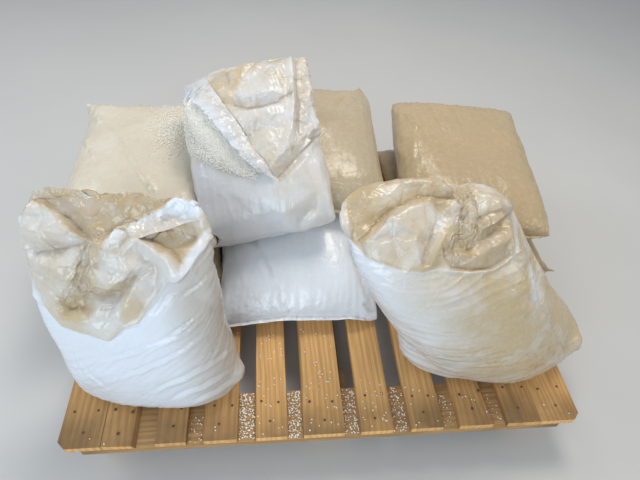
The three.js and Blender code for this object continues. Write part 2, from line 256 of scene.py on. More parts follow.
def maths(tree, operation, first, second=0.0):
    """The output of one Math node, kept from 0 to 1."""
    node = add(tree, "ShaderNodeMath", {0: first, 1: second}, operation=operation, use_clamp=True)
    return node.outputs[0]


def maths_free(tree, operation, first, second, third=0.0):
    """The output of one Math node, without the limit of 0 to 1."""
    return add(tree, "ShaderNodeMath", {0: first, 1: second, 2: third},
               operation=operation).outputs[0]


def steps(tree, value, low, high, to_low=0.0, to_high=1.0):
    """A value mapped smoothly from one range to another."""
    node = add(tree, "ShaderNodeMapRange", {
        "Value": value, "From Min": low, "From Max": high, "To Min": to_low, "To Max": to_high,
    }, interpolation_type="SMOOTHSTEP")
    return node.outputs[0]


def blend_colour(tree, factor, first, second, way="MIX"):
    """Two colours mixed by a factor."""
    node = add(tree, "ShaderNodeMix", {0: factor, 6: first, 7: second},
               data_type="RGBA", blend_type=way)
    return node.outputs[2]


def noise(tree, vector, scale, detail=2.0, rough=0.5, bend=0.0):
    """The value of one Noise texture."""
    return add(tree, "ShaderNodeTexNoise", {
        "Vector": vector, "Scale": scale, "Detail": detail, "Roughness": rough,
        "Distortion": bend}).outputs["Fac"]


def stretched(tree, vector, scale):
    """A vector scaled along each axis, to make a pattern long or short."""
    return add(tree, "ShaderNodeMapping", {"Vector": vector, "Scale": scale}).outputs[0]


# %% [markdown]
# Dust gathers in clouds and specks. Creased film has winding lines, crushed film has tilted
# cells, and pellets behind it make small bumps. Sawn wood has rings, fibres and knots.

# %% Dust, film creases, pellets behind film, sawn grain
RINGS_PER_METRE = 62.0
RING_WANDER = 6.5


def dust_group():
    """Dirt in broad clouds with fine specks."""
    group, given, out = new_group("yard_dust", [
        ("Vector", "NodeSocketVector", None), ("Amount", "NodeSocketFloat", 0.5)], [
        ("Mask", "NodeSocketFloat")])
    clouds = noise(group, given.outputs["Vector"], 7, 5, 0.62)
    specks = noise(group, given.outputs["Vector"], 260, 2, 0.5)
    broad = steps(group, clouds, 0.36, 0.72)
    fine = steps(group, specks, 0.66, 0.74, 0, 0.7)
    both = maths(group, "MAXIMUM", broad, fine)
    group.links.new(maths(group, "MULTIPLY", both, given.outputs["Amount"]), out.inputs["Mask"])
    return group


def crease_group():
    """Thin broken folds, as in film that was crushed and pulled flat again."""
    group, given, out = new_group("film_creases", [
        ("Vector", "NodeSocketVector", None), ("Size", "NodeSocketFloat", 12.0)], [
        ("Height", "NodeSocketFloat"), ("Lines", "NodeSocketFloat")])
    vector, size = given.outputs["Vector"], given.outputs["Size"]
    wide = thin_lines(group, vector, size, 0.016)
    close = thin_lines(group, vector, maths_free(group, "MULTIPLY", size, 2.6), 0.03)
    broken = steps(group, noise(group, vector, 17, 2, 0.5), 0.42, 0.6)
    lines = maths(group, "MAXIMUM", wide, maths(group, "MULTIPLY", close, broken))
    swell = noise(group, vector, 38, 3, 0.55, 0.5)
    height = maths(group, "ADD", maths(group, "MULTIPLY", lines, 0.3),
                   maths(group, "MULTIPLY", swell, 0.7))
    group.links.new(height, out.inputs["Height"])
    group.links.new(lines, out.inputs["Lines"])
    return group


def thin_lines(tree, vector, scale, width):
    """Winding lines where a noise crosses its middle value."""
    value = noise(tree, vector, scale, 1.5, 0.45, 0.3)
    middle = maths_free(tree, "SUBTRACT", value, 0.5)
    return steps(tree, maths_free(tree, "ABSOLUTE", middle, 0.0), 0.0, width, 1.0, 0.0)


def crushed_group():
    """Flat tilted cells that meet in sharp creases, as in film that was crushed in a fist."""
    group, given, out = new_group("crushed_film", [
        ("Vector", "NodeSocketVector", None), ("Size", "NodeSocketFloat", 34.0)], [
        ("Height", "NodeSocketFloat"), ("Edges", "NodeSocketFloat")])
    shake = add(group, "ShaderNodeTexNoise", {"Vector": given.outputs["Vector"], "Scale": 14.0,
                                              "Detail": 1.0}).outputs["Color"]
    moved = add(group, "ShaderNodeVectorMath", {0: shake, 1: (0.012, 0.012, 0.012),
                                                2: given.outputs["Vector"]},
                operation="MULTIPLY_ADD").outputs[0]
    layers = []
    for angle, factor, kind in ((0.5, 1.0, "MANHATTAN"), (1.1, 2.2, "CHEBYCHEV")):
        turned = add(group, "ShaderNodeMapping", {"Vector": moved,
                                                  "Rotation": (angle, 0.8 * angle, 0.4)}).outputs[0]
        layers.append(add(group, "ShaderNodeTexVoronoi", {
            "Vector": turned, "Scale": maths_free(group, "MULTIPLY", given.outputs["Size"], factor)},
            distance=kind).outputs["Distance"])
    height = maths_free(group, "MULTIPLY_ADD", layers[1], -0.5, layers[0])
    group.links.new(height, out.inputs["Height"])
    group.links.new(steps(group, height, 0.45, 0.85), out.inputs["Edges"])
    return group


def pellet_print_group():
    """Pellets push small round bumps into the film that lies on them."""
    group, given, out = new_group("pellet_print", [
        ("Vector", "NodeSocketVector", None), ("Size", "NodeSocketFloat", 210.0)], [
        ("Height", "NodeSocketFloat"), ("Mottle", "NodeSocketFloat")])
    cells = add(group, "ShaderNodeTexVoronoi", {"Vector": given.outputs["Vector"],
                                                "Scale": given.outputs["Size"]},
                feature="SMOOTH_F1")
    height = steps(group, cells.outputs["Distance"], 0.0, 0.7, 1.0, 0.0)
    patches = noise(group, given.outputs["Vector"], 60, 3, 0.6)
    mottle = maths(group, "MULTIPLY", height, steps(group, patches, 0.35, 0.7))
    group.links.new(height, out.inputs["Height"])
    group.links.new(mottle, out.inputs["Mottle"])
    return group


def grain_group():
    """Growth rings cut lengthwise, fine fibres, and a knot here and there."""
    group, given, out = new_group("sawn_grain", [
        ("Vector", "NodeSocketVector", None)], [
        ("Rings", "NodeSocketFloat"), ("Fibres", "NodeSocketFloat"),
        ("Knot", "NodeSocketFloat"), ("Height", "NodeSocketFloat")])
    vector = given.outputs["Vector"]
    knots = add(group, "ShaderNodeTexVoronoi", {
        "Vector": stretched(group, vector, (7.0, 2.3, 7.0)), "Scale": 1.0}).outputs["Distance"]
    knot = steps(group, knots, 0.035, 0.085, 1.0, 0.0)
    swirl = steps(group, knots, 0.0, 0.42, 0.55, 0.0)
    wander = noise(group, stretched(group, vector, (9.0, 1.1, 9.0)), 1.0, 2, 0.5)
    across = add(group, "ShaderNodeSeparateXYZ", {0: vector}).outputs["X"]
    phase = maths_free(group, "MULTIPLY_ADD", across, RINGS_PER_METRE, swirl)
    phase = maths_free(group, "MULTIPLY_ADD", wander, RING_WANDER, phase)
    wave = maths_free(group, "SINE", maths_free(group, "MULTIPLY", phase, 6.283), 0.0)
    rings = steps(group, wave, -0.9, 1.0)
    fibres = noise(group, stretched(group, vector, (420.0, 9.0, 420.0)), 1.0, 3, 0.65)
    height = maths(group, "ADD", maths(group, "MULTIPLY", rings, 0.35),
                   maths(group, "MULTIPLY", fibres, 0.6))
    for title, value in (("Rings", rings), ("Fibres", fibres), ("Knot", knot),
                         ("Height", height)):
        group.links.new(value, out.inputs[title])
    return group


GROUPS = {group.name: group for group in
          (dust_group(), crease_group(), crushed_group(), pellet_print_group(), grain_group())}
print("shared node groups:", ", ".join(sorted(GROUPS)))


def use_group(tree, name, values):
    """A node of a shared group, with values or links for its inputs."""
    return add(tree, "ShaderNodeGroup", values, node_tree=GROUPS[name])


def new_material(name):
    """A material with only its Principled shader, its node tree and that shader."""
    material = bpy.data.materials.new(name)
    material.use_nodes = True
    tree = material.node_tree
    return material, tree, tree.nodes["Principled BSDF"]


def attribute(tree, name, output="Fac"):
    """A number, or with the output Vector a vector, that the mesh keeps for each vertex."""
    return add(tree, "ShaderNodeAttribute", attribute_name=name).outputs[output]


def object_place(tree):
    """The place of a point in its own object."""
    return add(tree, "ShaderNodeTexCoord").outputs["Object"]


def bumped(tree, shader, height, distance, strength=1.0):
    """Small relief from a height."""
    bump = add(tree, "ShaderNodeBump", {"Height": height, "Distance": distance,
                                        "Strength": strength})
    tree.links.new(bump.outputs[0], shader.inputs["Normal"])


# %% [markdown]
# ## Sawn wood
# Pallet boards are rough-sawn softwood. Each board has its own colour, rings that wander along
# its length, fibres, a few knots, and ends that are dirty from feet and forks. The pattern has
# to follow each board, so every board carries its own grain coordinates as an attribute, with
# an offset, and one material serves all of them.

# %% The wood material
KNOT_COLOUR = (0.085, 0.040, 0.018, 1)


def wood_material(name, light, dark, dirt):
    """Sawn wood in two shades, with its own dirt."""
    material, tree, shader = new_material(name)
    where = attribute(tree, "grain", "Vector")
    grain = use_group(tree, "sawn_grain", {"Vector": where})
    tint = attribute(tree, "tint")
    grime = attribute(tree, "grime")
    rings = maths(tree, "MULTIPLY", grain.outputs["Rings"], 0.5)
    colour = blend_colour(tree, rings, light, dark)
    fibre = steps(tree, grain.outputs["Fibres"], 0.32, 0.72, 0.0, 0.42)
    colour = blend_colour(tree, fibre, colour, tuple(0.62 * c for c in dark[:3]) + (1,))
    colour = blend_colour(tree, grain.outputs["Knot"], colour, KNOT_COLOUR)
    streaks = noise(tree, stretched(tree, where, (16.0, 2.2, 16.0)), 1.0, 3, 0.6)
    colour = blend_colour(tree, steps(tree, streaks, 0.5, 0.8, 0.0, 0.45), colour, dirt)
    bright = add(tree, "ShaderNodeHueSaturation", {
        "Color": colour, "Value": maths_free(tree, "MULTIPLY_ADD", tint, 0.9, 0.55)}).outputs[0]
    dust = use_group(tree, "yard_dust", {"Vector": where, "Amount": 0.8})
    soiled = maths(tree, "MULTIPLY", grime,
                   maths(tree, "ADD", 0.55, maths(tree, "MULTIPLY", dust.outputs["Mask"], 0.6)))
    colour = blend_colour(tree, soiled, bright, dirt)
    tree.links.new(colour, shader.inputs["Base Color"])
    tree.links.new(steps(tree, grain.outputs["Fibres"], 0.2, 0.8, 0.78, 0.62),
                   shader.inputs["Roughness"])
    shader.inputs["Specular IOR Level"].default_value = 0.25
    bumped(tree, shader, grain.outputs["Height"], 0.0011, 0.8)
    return material


deck_wood = wood_material("sawn_deck_pine", (0.78, 0.46, 0.185, 1), (0.52, 0.26, 0.085, 1),
                          (0.16, 0.10, 0.05, 1))
frame_wood = wood_material("worn_frame_pine", (0.56, 0.34, 0.15, 1), (0.36, 0.19, 0.07, 1),
                           (0.12, 0.08, 0.045, 1))
print("wood:", deck_wood.name, frame_wood.name)

# %% [markdown]
# ## Random fields for shapes
# The same kinds of pattern shape the meshes, so they are needed as arrays too. Each lattice
# cell gets a repeatable random number from its whole-number place. `gradient_noise` is smooth.
# `facets` gives every cell its own tilted plane and blends the planes over a narrow seam, which
# is how crushed film looks: flat pieces that meet in creases.

# %% Noise in numpy
MASK_32 = 0xFFFFFFFF


def cell_random(cells, seed):
    """A repeatable number from 0 to 1 for each row of whole numbers."""
    mixed = (cells[:, 0] * 73856093) ^ (cells[:, 1] * 19349663) ^ (cells[:, 2] * 83492791)
    mixed = (mixed ^ (seed * 374761393)) & MASK_32
    for shift, factor in ((15, 0x2C1B3C6D), (12, 0x297A2D39), (15, 1)):
        mixed = ((mixed ^ (mixed >> shift)) * factor) & MASK_32
    return mixed / MASK_32


def cell_slope(cells, seed):
    """A repeatable direction for each cell."""
    return np.stack([2 * cell_random(cells, seed + axis) - 1 for axis in range(3)], axis=1)


def gradient_noise(points, seed):
    """Smooth noise from about -1 to 1, with features one unit wide."""
    home = np.floor(points).astype(np.int64)
    part = points - home
    fade = part ** 3 * (part * (part * 6 - 15) + 10)
    total = np.zeros(len(points))
    for corner in itertools.product((0, 1), repeat=3):
        corner = np.array(corner)
        weight = np.prod(np.where(corner == 1, fade, 1 - fade), axis=1)
        total += weight * ((part - corner) * cell_slope(home + corner, seed)).sum(axis=1)
    return total * 1.6


def facets(points, seed, sharpness=9.0):
    """Tilted flat cells, one unit wide, that meet in narrow creases."""
    home = np.floor(points).astype(np.int64)
    weights = np.zeros(len(points))
    heights = np.zeros(len(points))
    for step in itertools.product((-1, 0, 1), repeat=3):
        cell = home + np.array(step)
        reach = points - cell - 0.5 - 0.4 * cell_slope(cell, seed)
        weight = np.exp(-sharpness * (reach ** 2).sum(axis=1))
        weights += weight
        heights += weight * (reach * cell_slope(cell, seed + 7)).sum(axis=1)
    return heights / np.maximum(weights, 1e-12)


def ramp(value, low, high):
    """0 below low, 1 above high, smooth between."""
    part = np.clip((value - low) / (high - low), 0, 1)
    return part * part * (3 - 2 * part)


sample = gradient_noise(np.random.default_rng(1).random((2000, 3)) * 20, 3)
print("noise runs from", round(float(sample.min()), 2), "to", round(float(sample.max()), 2))

# %% [markdown]
# Meshes are read and written as whole arrays. Each vertex can also keep numbers of its own,
# which a material reads.

# %% Read and write vertices quickly
def vertices_of(obj, field="co"):
    """The places of the vertices, or another of their vectors, as an array."""
    flat = np.empty(len(obj.data.vertices) * 3)
    obj.data.vertices.foreach_get(field, flat)
    return flat.reshape(-1, 3)


def normals_of(obj):
    """The direction of each vertex outward."""
    return vertices_of(obj, "normal")


def move_vertices(obj, points):
    """Puts the vertices in new places."""
    obj.data.vertices.foreach_set("co", np.ascontiguousarray(points, dtype=np.float32).ravel())
    obj.data.update()


def store(obj, name, values, kind="FLOAT"):
    """Keeps one number, or one vector, for each vertex."""
    layer = obj.data.attributes.get(name) or obj.data.attributes.new(name, kind, "POINT")
    key = "value" if kind == "FLOAT" else "vector"
    layer.data.foreach_set(key, np.ascontiguousarray(values, dtype=np.float32).ravel())


def apply_modifier(obj, kind, **settings):
    """Adds a modifier with these settings and applies it."""
    only(obj)
    modifier = obj.modifiers.new(kind.lower(), kind)
    for key, value in settings.items():
        setattr(modifier, key, value)
    bpy.ops.object.modifier_apply(modifier=modifier.name)


print("the floor has", len(vertices_of(floor)), "corners")

# %% [markdown]
# ## Boards and blocks
# A board starts as a cube of the solid's exact size. Its outer corners are cut as on the real
# pallet, bisect planes cut it across so that its edges can wear, and a fine bevel catches the
# light. Three boards keep a strip of wane, where the bark was.

# %% One board
CROSS_CUTS = 26
BOARD_BEVEL = 1.3 * MM


def block_of_wood(node, corner_cut=0.0, cut_ends=()):
    """A cube of the node's size. cut_ends has the (x, y) signs of its cut corners."""
    low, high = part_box(node)
    middle = (low + high) / 2
    deselect_all()
    bpy.ops.mesh.primitive_cube_add(size=1, location=middle, scale=high - low)
    board = bpy.context.object
    board.name = node + "_wood"
    bpy.ops.object.transform_apply(location=True, rotation=True, scale=True)
    for sign_x, sign_y in cut_ends:
        bpy.ops.object.mode_set(mode="EDIT")
        bpy.ops.mesh.select_mode(type="EDGE")
        bpy.ops.mesh.select_all(action="DESELECT")
        shape = bmesh.from_edit_mesh(board.data)
        for edge in shape.edges:
            centre = (edge.verts[0].co + edge.verts[1].co) / 2
            run = (edge.verts[1].co - edge.verts[0].co).normalized()
            upright = abs(run.z) > 0.9
            there = ((centre.x - middle.x) * sign_x > 0.49 * (high.x - low.x)
                     and (centre.y - middle.y) * sign_y > 0.49 * (high.y - low.y))
            edge.select = upright and there
        bmesh.update_edit_mesh(board.data)
        bpy.ops.mesh.bevel(offset=corner_cut, segments=1)
        bpy.ops.object.mode_set(mode="OBJECT")
    return board


def cross_cut(board, axis, count):
    """Bisects the board across its length, so that its edges can wear."""
    points = vertices_of(board)
    low, high = points[:, axis].min(), points[:, axis].max()
    normal = [0, 0, 0]
    normal[axis] = 1
    bpy.ops.object.mode_set(mode="EDIT")
    for index in range(1, count):
        place = [0, 0, 0]
        place[axis] = low + (high - low) * index / count
        bpy.ops.mesh.select_all(action="SELECT")
        bpy.ops.mesh.bisect(plane_co=place, plane_no=normal)
    bpy.ops.object.mode_set(mode="OBJECT")


def bevel_sharp_edges(board, width):
    """A fine bevel on every sharp edge."""
    apply_modifier(board, "BEVEL", width=width, segments=2, limit_method="ANGLE",
                   angle_limit=math.radians(40))
    bpy.ops.object.shade_smooth_by_angle(angle=math.radians(35))


def wear_board(board, along, seed, wane):
    """Small hollows on the long edges, plus a strip of wane on the side that wane names."""
    points = vertices_of(board)
    low, high = points.min(axis=0), points.max(axis=0)
    middle = (low + high) / 2
    across = 1 - along
    length = points[:, along] * 9
    rim = np.abs(points[:, across] - middle[across]) > 0.49 * (high[across] - low[across])
    top = points[:, 2] > middle[2]
    side = np.sign(points[:, across] - middle[across])
    where = np.stack([length, side * 5, points[:, 2] * 0], axis=1)
    wear = np.clip(gradient_noise(where, seed), 0, 1) * 1.6 * MM
    points[:, across] -= side * rim * wear
    if wane:
        bark = ramp(gradient_noise(where * 0.35, seed + 5), -0.25, 0.35) * 9 * MM
        chosen = rim & top & (side == wane)
        points[:, across] -= np.where(chosen, side * bark, 0)
        points[:, 2] -= np.where(chosen, 0.6 * bark, 0)
    move_vertices(board, points)


def dress_board(board, along, seed, tint, material):
    """Grain coordinates, tint and grime for one board."""
    points = vertices_of(board)
    low, high = points.min(axis=0), points.max(axis=0)
    grain = points - (low + high) / 2
    if along == 0:
        grain = grain[:, [1, 0, 2]]
    shuffle = random.Random(seed)
    grain += np.array([shuffle.uniform(-3, 3) for _ in range(3)])
    store(board, "grain", grain, "FLOAT_VECTOR")
    ends = np.minimum(points[:, along] - low[along], high[along] - points[:, along])
    sawn_end = ends < 0.3 * MM
    store(board, "grime", np.where(sawn_end, 0.1, 0.75 * ramp(-ends, -0.13, 0.0) + 0.12))
    store(board, "tint", tint + 0.35 * sawn_end)
    board.data.materials.clear()
    board.data.materials.append(material)


def build_board(node, along, seed, tint, wood, cuts=CROSS_CUTS, bevel=BOARD_BEVEL,
                corner_cut=0.0, cut_ends=(), wane=0, grain_seed=None):
    """One finished piece of wood. seed places its wear, and grain_seed or else seed its grain."""
    board = block_of_wood(node, corner_cut, cut_ends)
    cross_cut(board, along, cuts)
    wear_board(board, along, seed, wane)
    bevel_sharp_edges(board, bevel)
    dress_board(board, along, grain_seed or seed, tint, wood)
    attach(board, "root")
    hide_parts(node)


print("every board is cut across in", CROSS_CUTS, "parts")

# %% [markdown]
# The eleven deck boards run from front to back. The two outermost have their corners cut off.

# %% Deck boards
CORNER_CUT = 18 * MM
STRINGER_CUT = 24 * MM
DECK_TINTS = [0.36, 0.40, 0.34, 0.44, 0.58, 0.62, 0.60, 0.50, 0.42, 0.46, 0.56]
WANE_SIDE = {2: 1, 6: -1, 9: 1}
ALONG_X, ALONG_Y = 0, 1

for number, tint in enumerate(DECK_TINTS, start=1):
    cut_ends = {1: [(-1, -1), (-1, 1)], len(DECK_TINTS): [(1, -1), (1, 1)]}.get(number, [])
    build_board(f"deck_board_{number:02d}", ALONG_Y, number, tint, deck_wood,
                corner_cut=CORNER_CUT, cut_ends=cut_ends, wane=WANE_SIDE.get(number, 0))
print("deck boards:", len(DECK_TINTS))

# %% [markdown]
# The stringer boards run from left to right, and their corners are cut as well. Nine blocks
# stand between them and the three bottom boards.

# %% Stringer boards, blocks and bottom boards
STRINGER_ENDS = {"front": [(-1, -1), (1, -1)], "middle": [], "back": [(-1, 1), (1, 1)]}
COLUMNS = ("left", "centre", "right")
STRINGER_TINT, BLOCK_TINT, BOTTOM_TINT = 0.5, 0.42, 0.4
BLOCK_CUTS = 6

for row, cut_ends in STRINGER_ENDS.items():
    build_board(f"stringer_board_{row}", ALONG_X, len(row), STRINGER_TINT, frame_wood,
                corner_cut=STRINGER_CUT, cut_ends=cut_ends,
                grain_seed=40 + len(row))

for seed, (row, column) in enumerate(itertools.product(STRINGER_ENDS, COLUMNS), start=60):
    build_board(f"block_{row}_{column}", ALONG_Y, seed, BLOCK_TINT, frame_wood,
                cuts=BLOCK_CUTS, bevel=2 * BOARD_BEVEL)

for seed, column in enumerate(COLUMNS, start=80):
    build_board(f"bottom_board_{column}", ALONG_Y, seed, BOTTOM_TINT, frame_wood)
print("stringers, blocks and bottom boards are in")

# %% [markdown]
# ## Nails
# Three nails hold each deck board on each stringer. Their heads are brown and nearly flush with
# the wood. One is turned from a profile with spin, and copied to every crossing. All of them are
# one joined mesh.

# %% Turn one nail and copy it
NAIL_RADIUS = 3.3 * MM
NAIL_PROFILE = [(0, 0.25), (0.55, 0.25), (0.72, 0.35), (0.9, 0.7), (1.0, 0.5), (1.12, -0.6)]
NAIL_STEPS = 14
NAIL_DEPTH = 4 * MM
NAIL_SPREAD = 26 * MM
NAIL_PARTS = (0.22, 0.5, 0.78)  # of a board's width


def copies_joined(name, pattern, places, turns=None, scales=None):
    """One mesh with a copy of a small pattern mesh at every place."""
    points = vertices_of(pattern)
    faces = np.array([list(face.vertices) for face in pattern.data.polygons])
    count = len(points)
    every = np.empty((len(places), count, 3))
    for index, place in enumerate(places):
        shape = points * (scales[index] if scales is not None else 1.0)
        if turns is not None:
            shape = shape @ turns[index].T
        every[index] = shape + place
    loops = faces[None, :, :] + (np.arange(len(places)) * count)[:, None, None]
    return mesh_object(name, every.reshape(-1, 3), loops.reshape(-1, faces.shape[1]).tolist())


def turned_nail():
    """A profile spun round the upright axis, closed below."""
    mesh = bpy.data.meshes.new("nail_pattern")
    shape = bmesh.new()
    rows = []
    for radius, height in NAIL_PROFILE:
        rows.append(shape.verts.new((radius * NAIL_RADIUS, 0, height * MM)))
    rows.append(shape.verts.new((0, 0, -NAIL_DEPTH)))
    for first, second in zip(rows, rows[1:]):
        shape.edges.new((first, second))
    shape.to_mesh(mesh)
    shape.free()
    nail = new_object("nail_pattern", mesh)
    edit_all(nail)
    bpy.ops.mesh.spin(steps=NAIL_STEPS, angle=2 * math.pi, center=(0, 0, 0), axis=(0, 0, 1))
    bpy.ops.mesh.select_all(action="SELECT")
    bpy.ops.mesh.remove_doubles(threshold=0.05 * MM)
    bpy.ops.mesh.normals_make_consistent(inside=False)
    bpy.ops.mesh.quads_convert_to_tris()
    bpy.ops.object.mode_set(mode="OBJECT")
    return nail


def nail_material():
    """Brown steel in two shades."""
    material, tree, shader = new_material("rusty_nail")
    place = object_place(tree)
    rust = noise(tree, place, 300, 3, 0.6)
    colour = blend_colour(tree, steps(tree, rust, 0.4, 0.65), (0.07, 0.040, 0.024, 1),
                          (0.15, 0.085, 0.048, 1))
    tree.links.new(colour, shader.inputs["Base Color"])
    tree.links.new(steps(tree, rust, 0.3, 0.7, 0.5, 0.85), shader.inputs["Roughness"])
    bumped(tree, shader, rust, 0.0004)
    return material


nail = turned_nail()
jitter = random.Random(11)
nail_places = []
for number in range(1, len(DECK_TINTS) + 1):
    low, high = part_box(f"deck_board_{number:02d}")
    for row in STRINGER_ENDS:
        row_low, row_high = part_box(f"stringer_board_{row}")
        for part in NAIL_PARTS:
            side = -1 if part == 0.5 else 1
            nail_places.append((low.x + (high.x - low.x) * part + jitter.uniform(-5, 5) * MM,
                                (row_low.y + row_high.y) / 2 + side * NAIL_SPREAD
                                + jitter.uniform(-8, 8) * MM,
                                DECK_TOP))
nails = copies_joined("deck_nails", nail, nail_places)
bpy.data.objects.remove(nail)
nails.data.materials.append(nail_material())
only(nails)
bpy.ops.object.shade_smooth_by_angle(angle=math.radians(40))
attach(nails, "root")
print("nails:", len(nail_places))

# %% [markdown]
# ## Film
# The sacks are thick polyethylene film: white or cream, half gloss, with dust on top and brown
# dirt with painted shade in the folds. Pellets behind it print through as a fine grain. The look
# of each place comes from attributes that the shaping cells below write on the mesh: `tan` says
# how stained the film is (on the open sack's right side it holds painted shade as well), `crease`
# how much dirt and painted shade its folds hold, and `crush` how crumpled it is.

# %% The film material
GRANULE_SCALE = 190.0
CREASE_SCALE = 11.0
PELLETS_BEHIND = (0.95, 0.93, 0.88, 1)
DUST_ON_FILM = (0.42, 0.34, 0.24, 1)
CRUSHED_LINES = (0.46, 0.35, 0.21, 1)
# The brown of the folds: dirt with painted shade, weighted by the crease attribute.
FOLD_DIRT_AND_SHADE = (0.27, 0.175, 0.085, 1)


def film_material(name, clean, stained, rough, print_depth, dust_amount):
    """Film from its clean to its stained colour, with its gloss, pellet print and dust."""
    material, tree, shader = new_material(name)
    place = object_place(tree)
    folds = use_group(tree, "film_creases", {"Vector": place, "Size": CREASE_SCALE})
    pellets = use_group(tree, "pellet_print", {"Vector": place, "Size": GRANULE_SCALE})
    crushed = use_group(tree, "crushed_film", {"Vector": place})
    dust = use_group(tree, "yard_dust", {"Vector": place, "Amount": dust_amount})
    tan, crease, crush = (attribute(tree, name) for name in ("tan", "crease", "crush"))
    patches = noise(tree, place, 11, 4, 0.6)
    stain = maths(tree, "MULTIPLY", tan, steps(tree, patches, 0.25, 0.6, 0.55, 1.0))
    colour = blend_colour(tree, stain, clean, stained)
    lines = maths(tree, "MULTIPLY", crushed.outputs["Edges"], maths(tree, "MULTIPLY", tan, crush))
    for mask, strength, tint in ((pellets.outputs["Mottle"], 0.16, PELLETS_BEHIND),
                                 (dust.outputs["Mask"], 0.5, DUST_ON_FILM),
                                 (lines, 0.38, CRUSHED_LINES),
                                 (crease, 0.8, FOLD_DIRT_AND_SHADE)):
        colour = blend_colour(tree, maths(tree, "MULTIPLY", mask, strength), colour, tint)
    tree.links.new(colour, shader.inputs["Base Color"])
    dull = maths(tree, "ADD", rough, maths(tree, "MULTIPLY", dust.outputs["Mask"], 0.25))
    tree.links.new(maths_free(tree, "MULTIPLY_ADD", crush, -0.14, dull), shader.inputs["Roughness"])
    crease_height = maths_free(tree, "MULTIPLY", folds.outputs["Height"],
                               maths_free(tree, "MULTIPLY_ADD", tan, 0.8, 0.35))
    height = maths_free(tree, "MULTIPLY_ADD", pellets.outputs["Height"], print_depth,
                        crease_height)
    height = maths_free(tree, "MULTIPLY_ADD", crushed.outputs["Height"],
                        maths_free(tree, "MULTIPLY", crush, 4.4), height)
    bumped(tree, shader, height, 0.0022, 0.75)
    return material


white_film = film_material("white_sack_film", (0.76, 0.81, 0.88, 1), (0.58, 0.455, 0.27, 1),
                           0.24, 0.07, 0.16)
cream_film = film_material("cream_sack_film", (0.78, 0.76, 0.68, 1), (0.60, 0.48, 0.30, 1),
                           0.24, 0.12, 0.22)
dusty_film = film_material("dusty_sack_film", (0.50, 0.385, 0.225, 1), (0.40, 0.29, 0.16, 1),
                           0.22, 0.08, 0.35)
pale_dusty_film = film_material("pale_dusty_sack_film", (0.51, 0.43, 0.30, 1),
                                (0.42, 0.32, 0.18, 1), 0.22, 0.08, 0.30)
print("films:", white_film.name, cream_film.name, dusty_film.name, pale_dusty_film.name)

# %% [markdown]
# ## From a solid to a skin
# Each sack's solid has flat facets and knows nothing of film. The steps are the same for all:
# draw a copy in a little, rebuild it as even small quads with a voxel remesh, ease the facets
# away, let a cloth simulation blow it up against its filling, and subdivide once. Folds come
# after that, as small moves along the normals. A skin may never reach a neighbour, so each
# point knows how much room it has: half of the way to the nearest other sack.

# %% Skins and their room
DRAW_IN = 3 * MM
ROOM_REACH = 40 * MM
SWELL_LIMIT = 26 * MM
RISE_LIMIT = 12 * MM
HOLD = 0.05
FOLD_ROUNDS = 45
FILM_BEND = 0.1
FILM_PRESSURE = 0.5
FILM_CLOTH_FRAMES = 17
WELD_GAP = 0.01 * MM
DECK_GAP = 0.4 * MM
FINE, MEDIUM, COARSE = 9.2 * MM, 12.6 * MM, 19 * MM


def tree_of(obj):
    """A mesh as a tree of triangles that rays can meet."""
    obj.data.calc_loop_triangles()
    triangles = [tuple(triangle.vertices) for triangle in obj.data.loop_triangles]
    return BVHTree.FromPolygons([vertex.co for vertex in obj.data.vertices], triangles)


NODE_TREES = {node: tree_of(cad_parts[node]) for node in SACK_NODES}


def room_at(points, node):
    """Half of the way from each point to the nearest other sack, up to half of the reach."""
    room = np.full(len(points), ROOM_REACH / 2)
    for other in SACK_NODES:
        if other == node:
            continue
        low, high = (np.array(corner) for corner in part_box(other))
        near = np.all((points > low - ROOM_REACH) & (points < high + ROOM_REACH), axis=1)
        for index in np.flatnonzero(near):
            distance = NODE_TREES[other].find_nearest(points[index], ROOM_REACH)[3]
            if distance is not None:
                room[index] = min(room[index], distance / 2)
    return room


def keep_above_deck(points):
    """Lifts the points that lie over the pallet and too low to just above its deck."""
    lowest = DECK_TOP + DECK_GAP
    sunk = (np.abs(points[:, 0]) < cad_box[1].x) & (points[:, 2] < lowest)
    points[:, 2] = np.where(sunk, lowest, points[:, 2])
    return points


def even_copy(node, name, voxel, draw_in=0.0):
    """A copy of a node's solid, drawn in a little and rebuilt as even small quads."""
    copy = new_object(name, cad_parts[node].data.copy())
    copy.data.materials.clear()
    edit_all(copy)
    bpy.ops.mesh.remove_doubles(threshold=WELD_GAP)
    bpy.ops.object.mode_set(mode="OBJECT")
    move_vertices(copy, vertices_of(copy) - draw_in * normals_of(copy))
    copy.data.remesh_voxel_size = voxel
    bpy.ops.object.voxel_remesh()
    return copy


def film_skin(node, voxel, easing):
    """A closed skin of even quads in the place of a sack's solid."""
    skin = even_copy(node, node + "_film", voxel, DRAW_IN)
    apply_modifier(skin, "SMOOTH", factor=0.5, iterations=easing)
    return skin


def eased(values, skin, rounds):
    """Values averaged with their neighbours again and again, which leaves only the broad shape."""
    edges = np.empty(len(skin.data.edges) * 2, dtype=np.int32)
    skin.data.edges.foreach_get("vertices", edges)
    first, second = edges.reshape(-1, 2).T
    count = np.bincount(edges, minlength=len(values)) + 1.0
    for _ in range(rounds):
        total = values.copy()
        for axis in range(values.shape[1]):
            total[:, axis] += np.bincount(first, values[second, axis], len(values))
            total[:, axis] += np.bincount(second, values[first, axis], len(values))
        values = total / count[:, None]
    return values


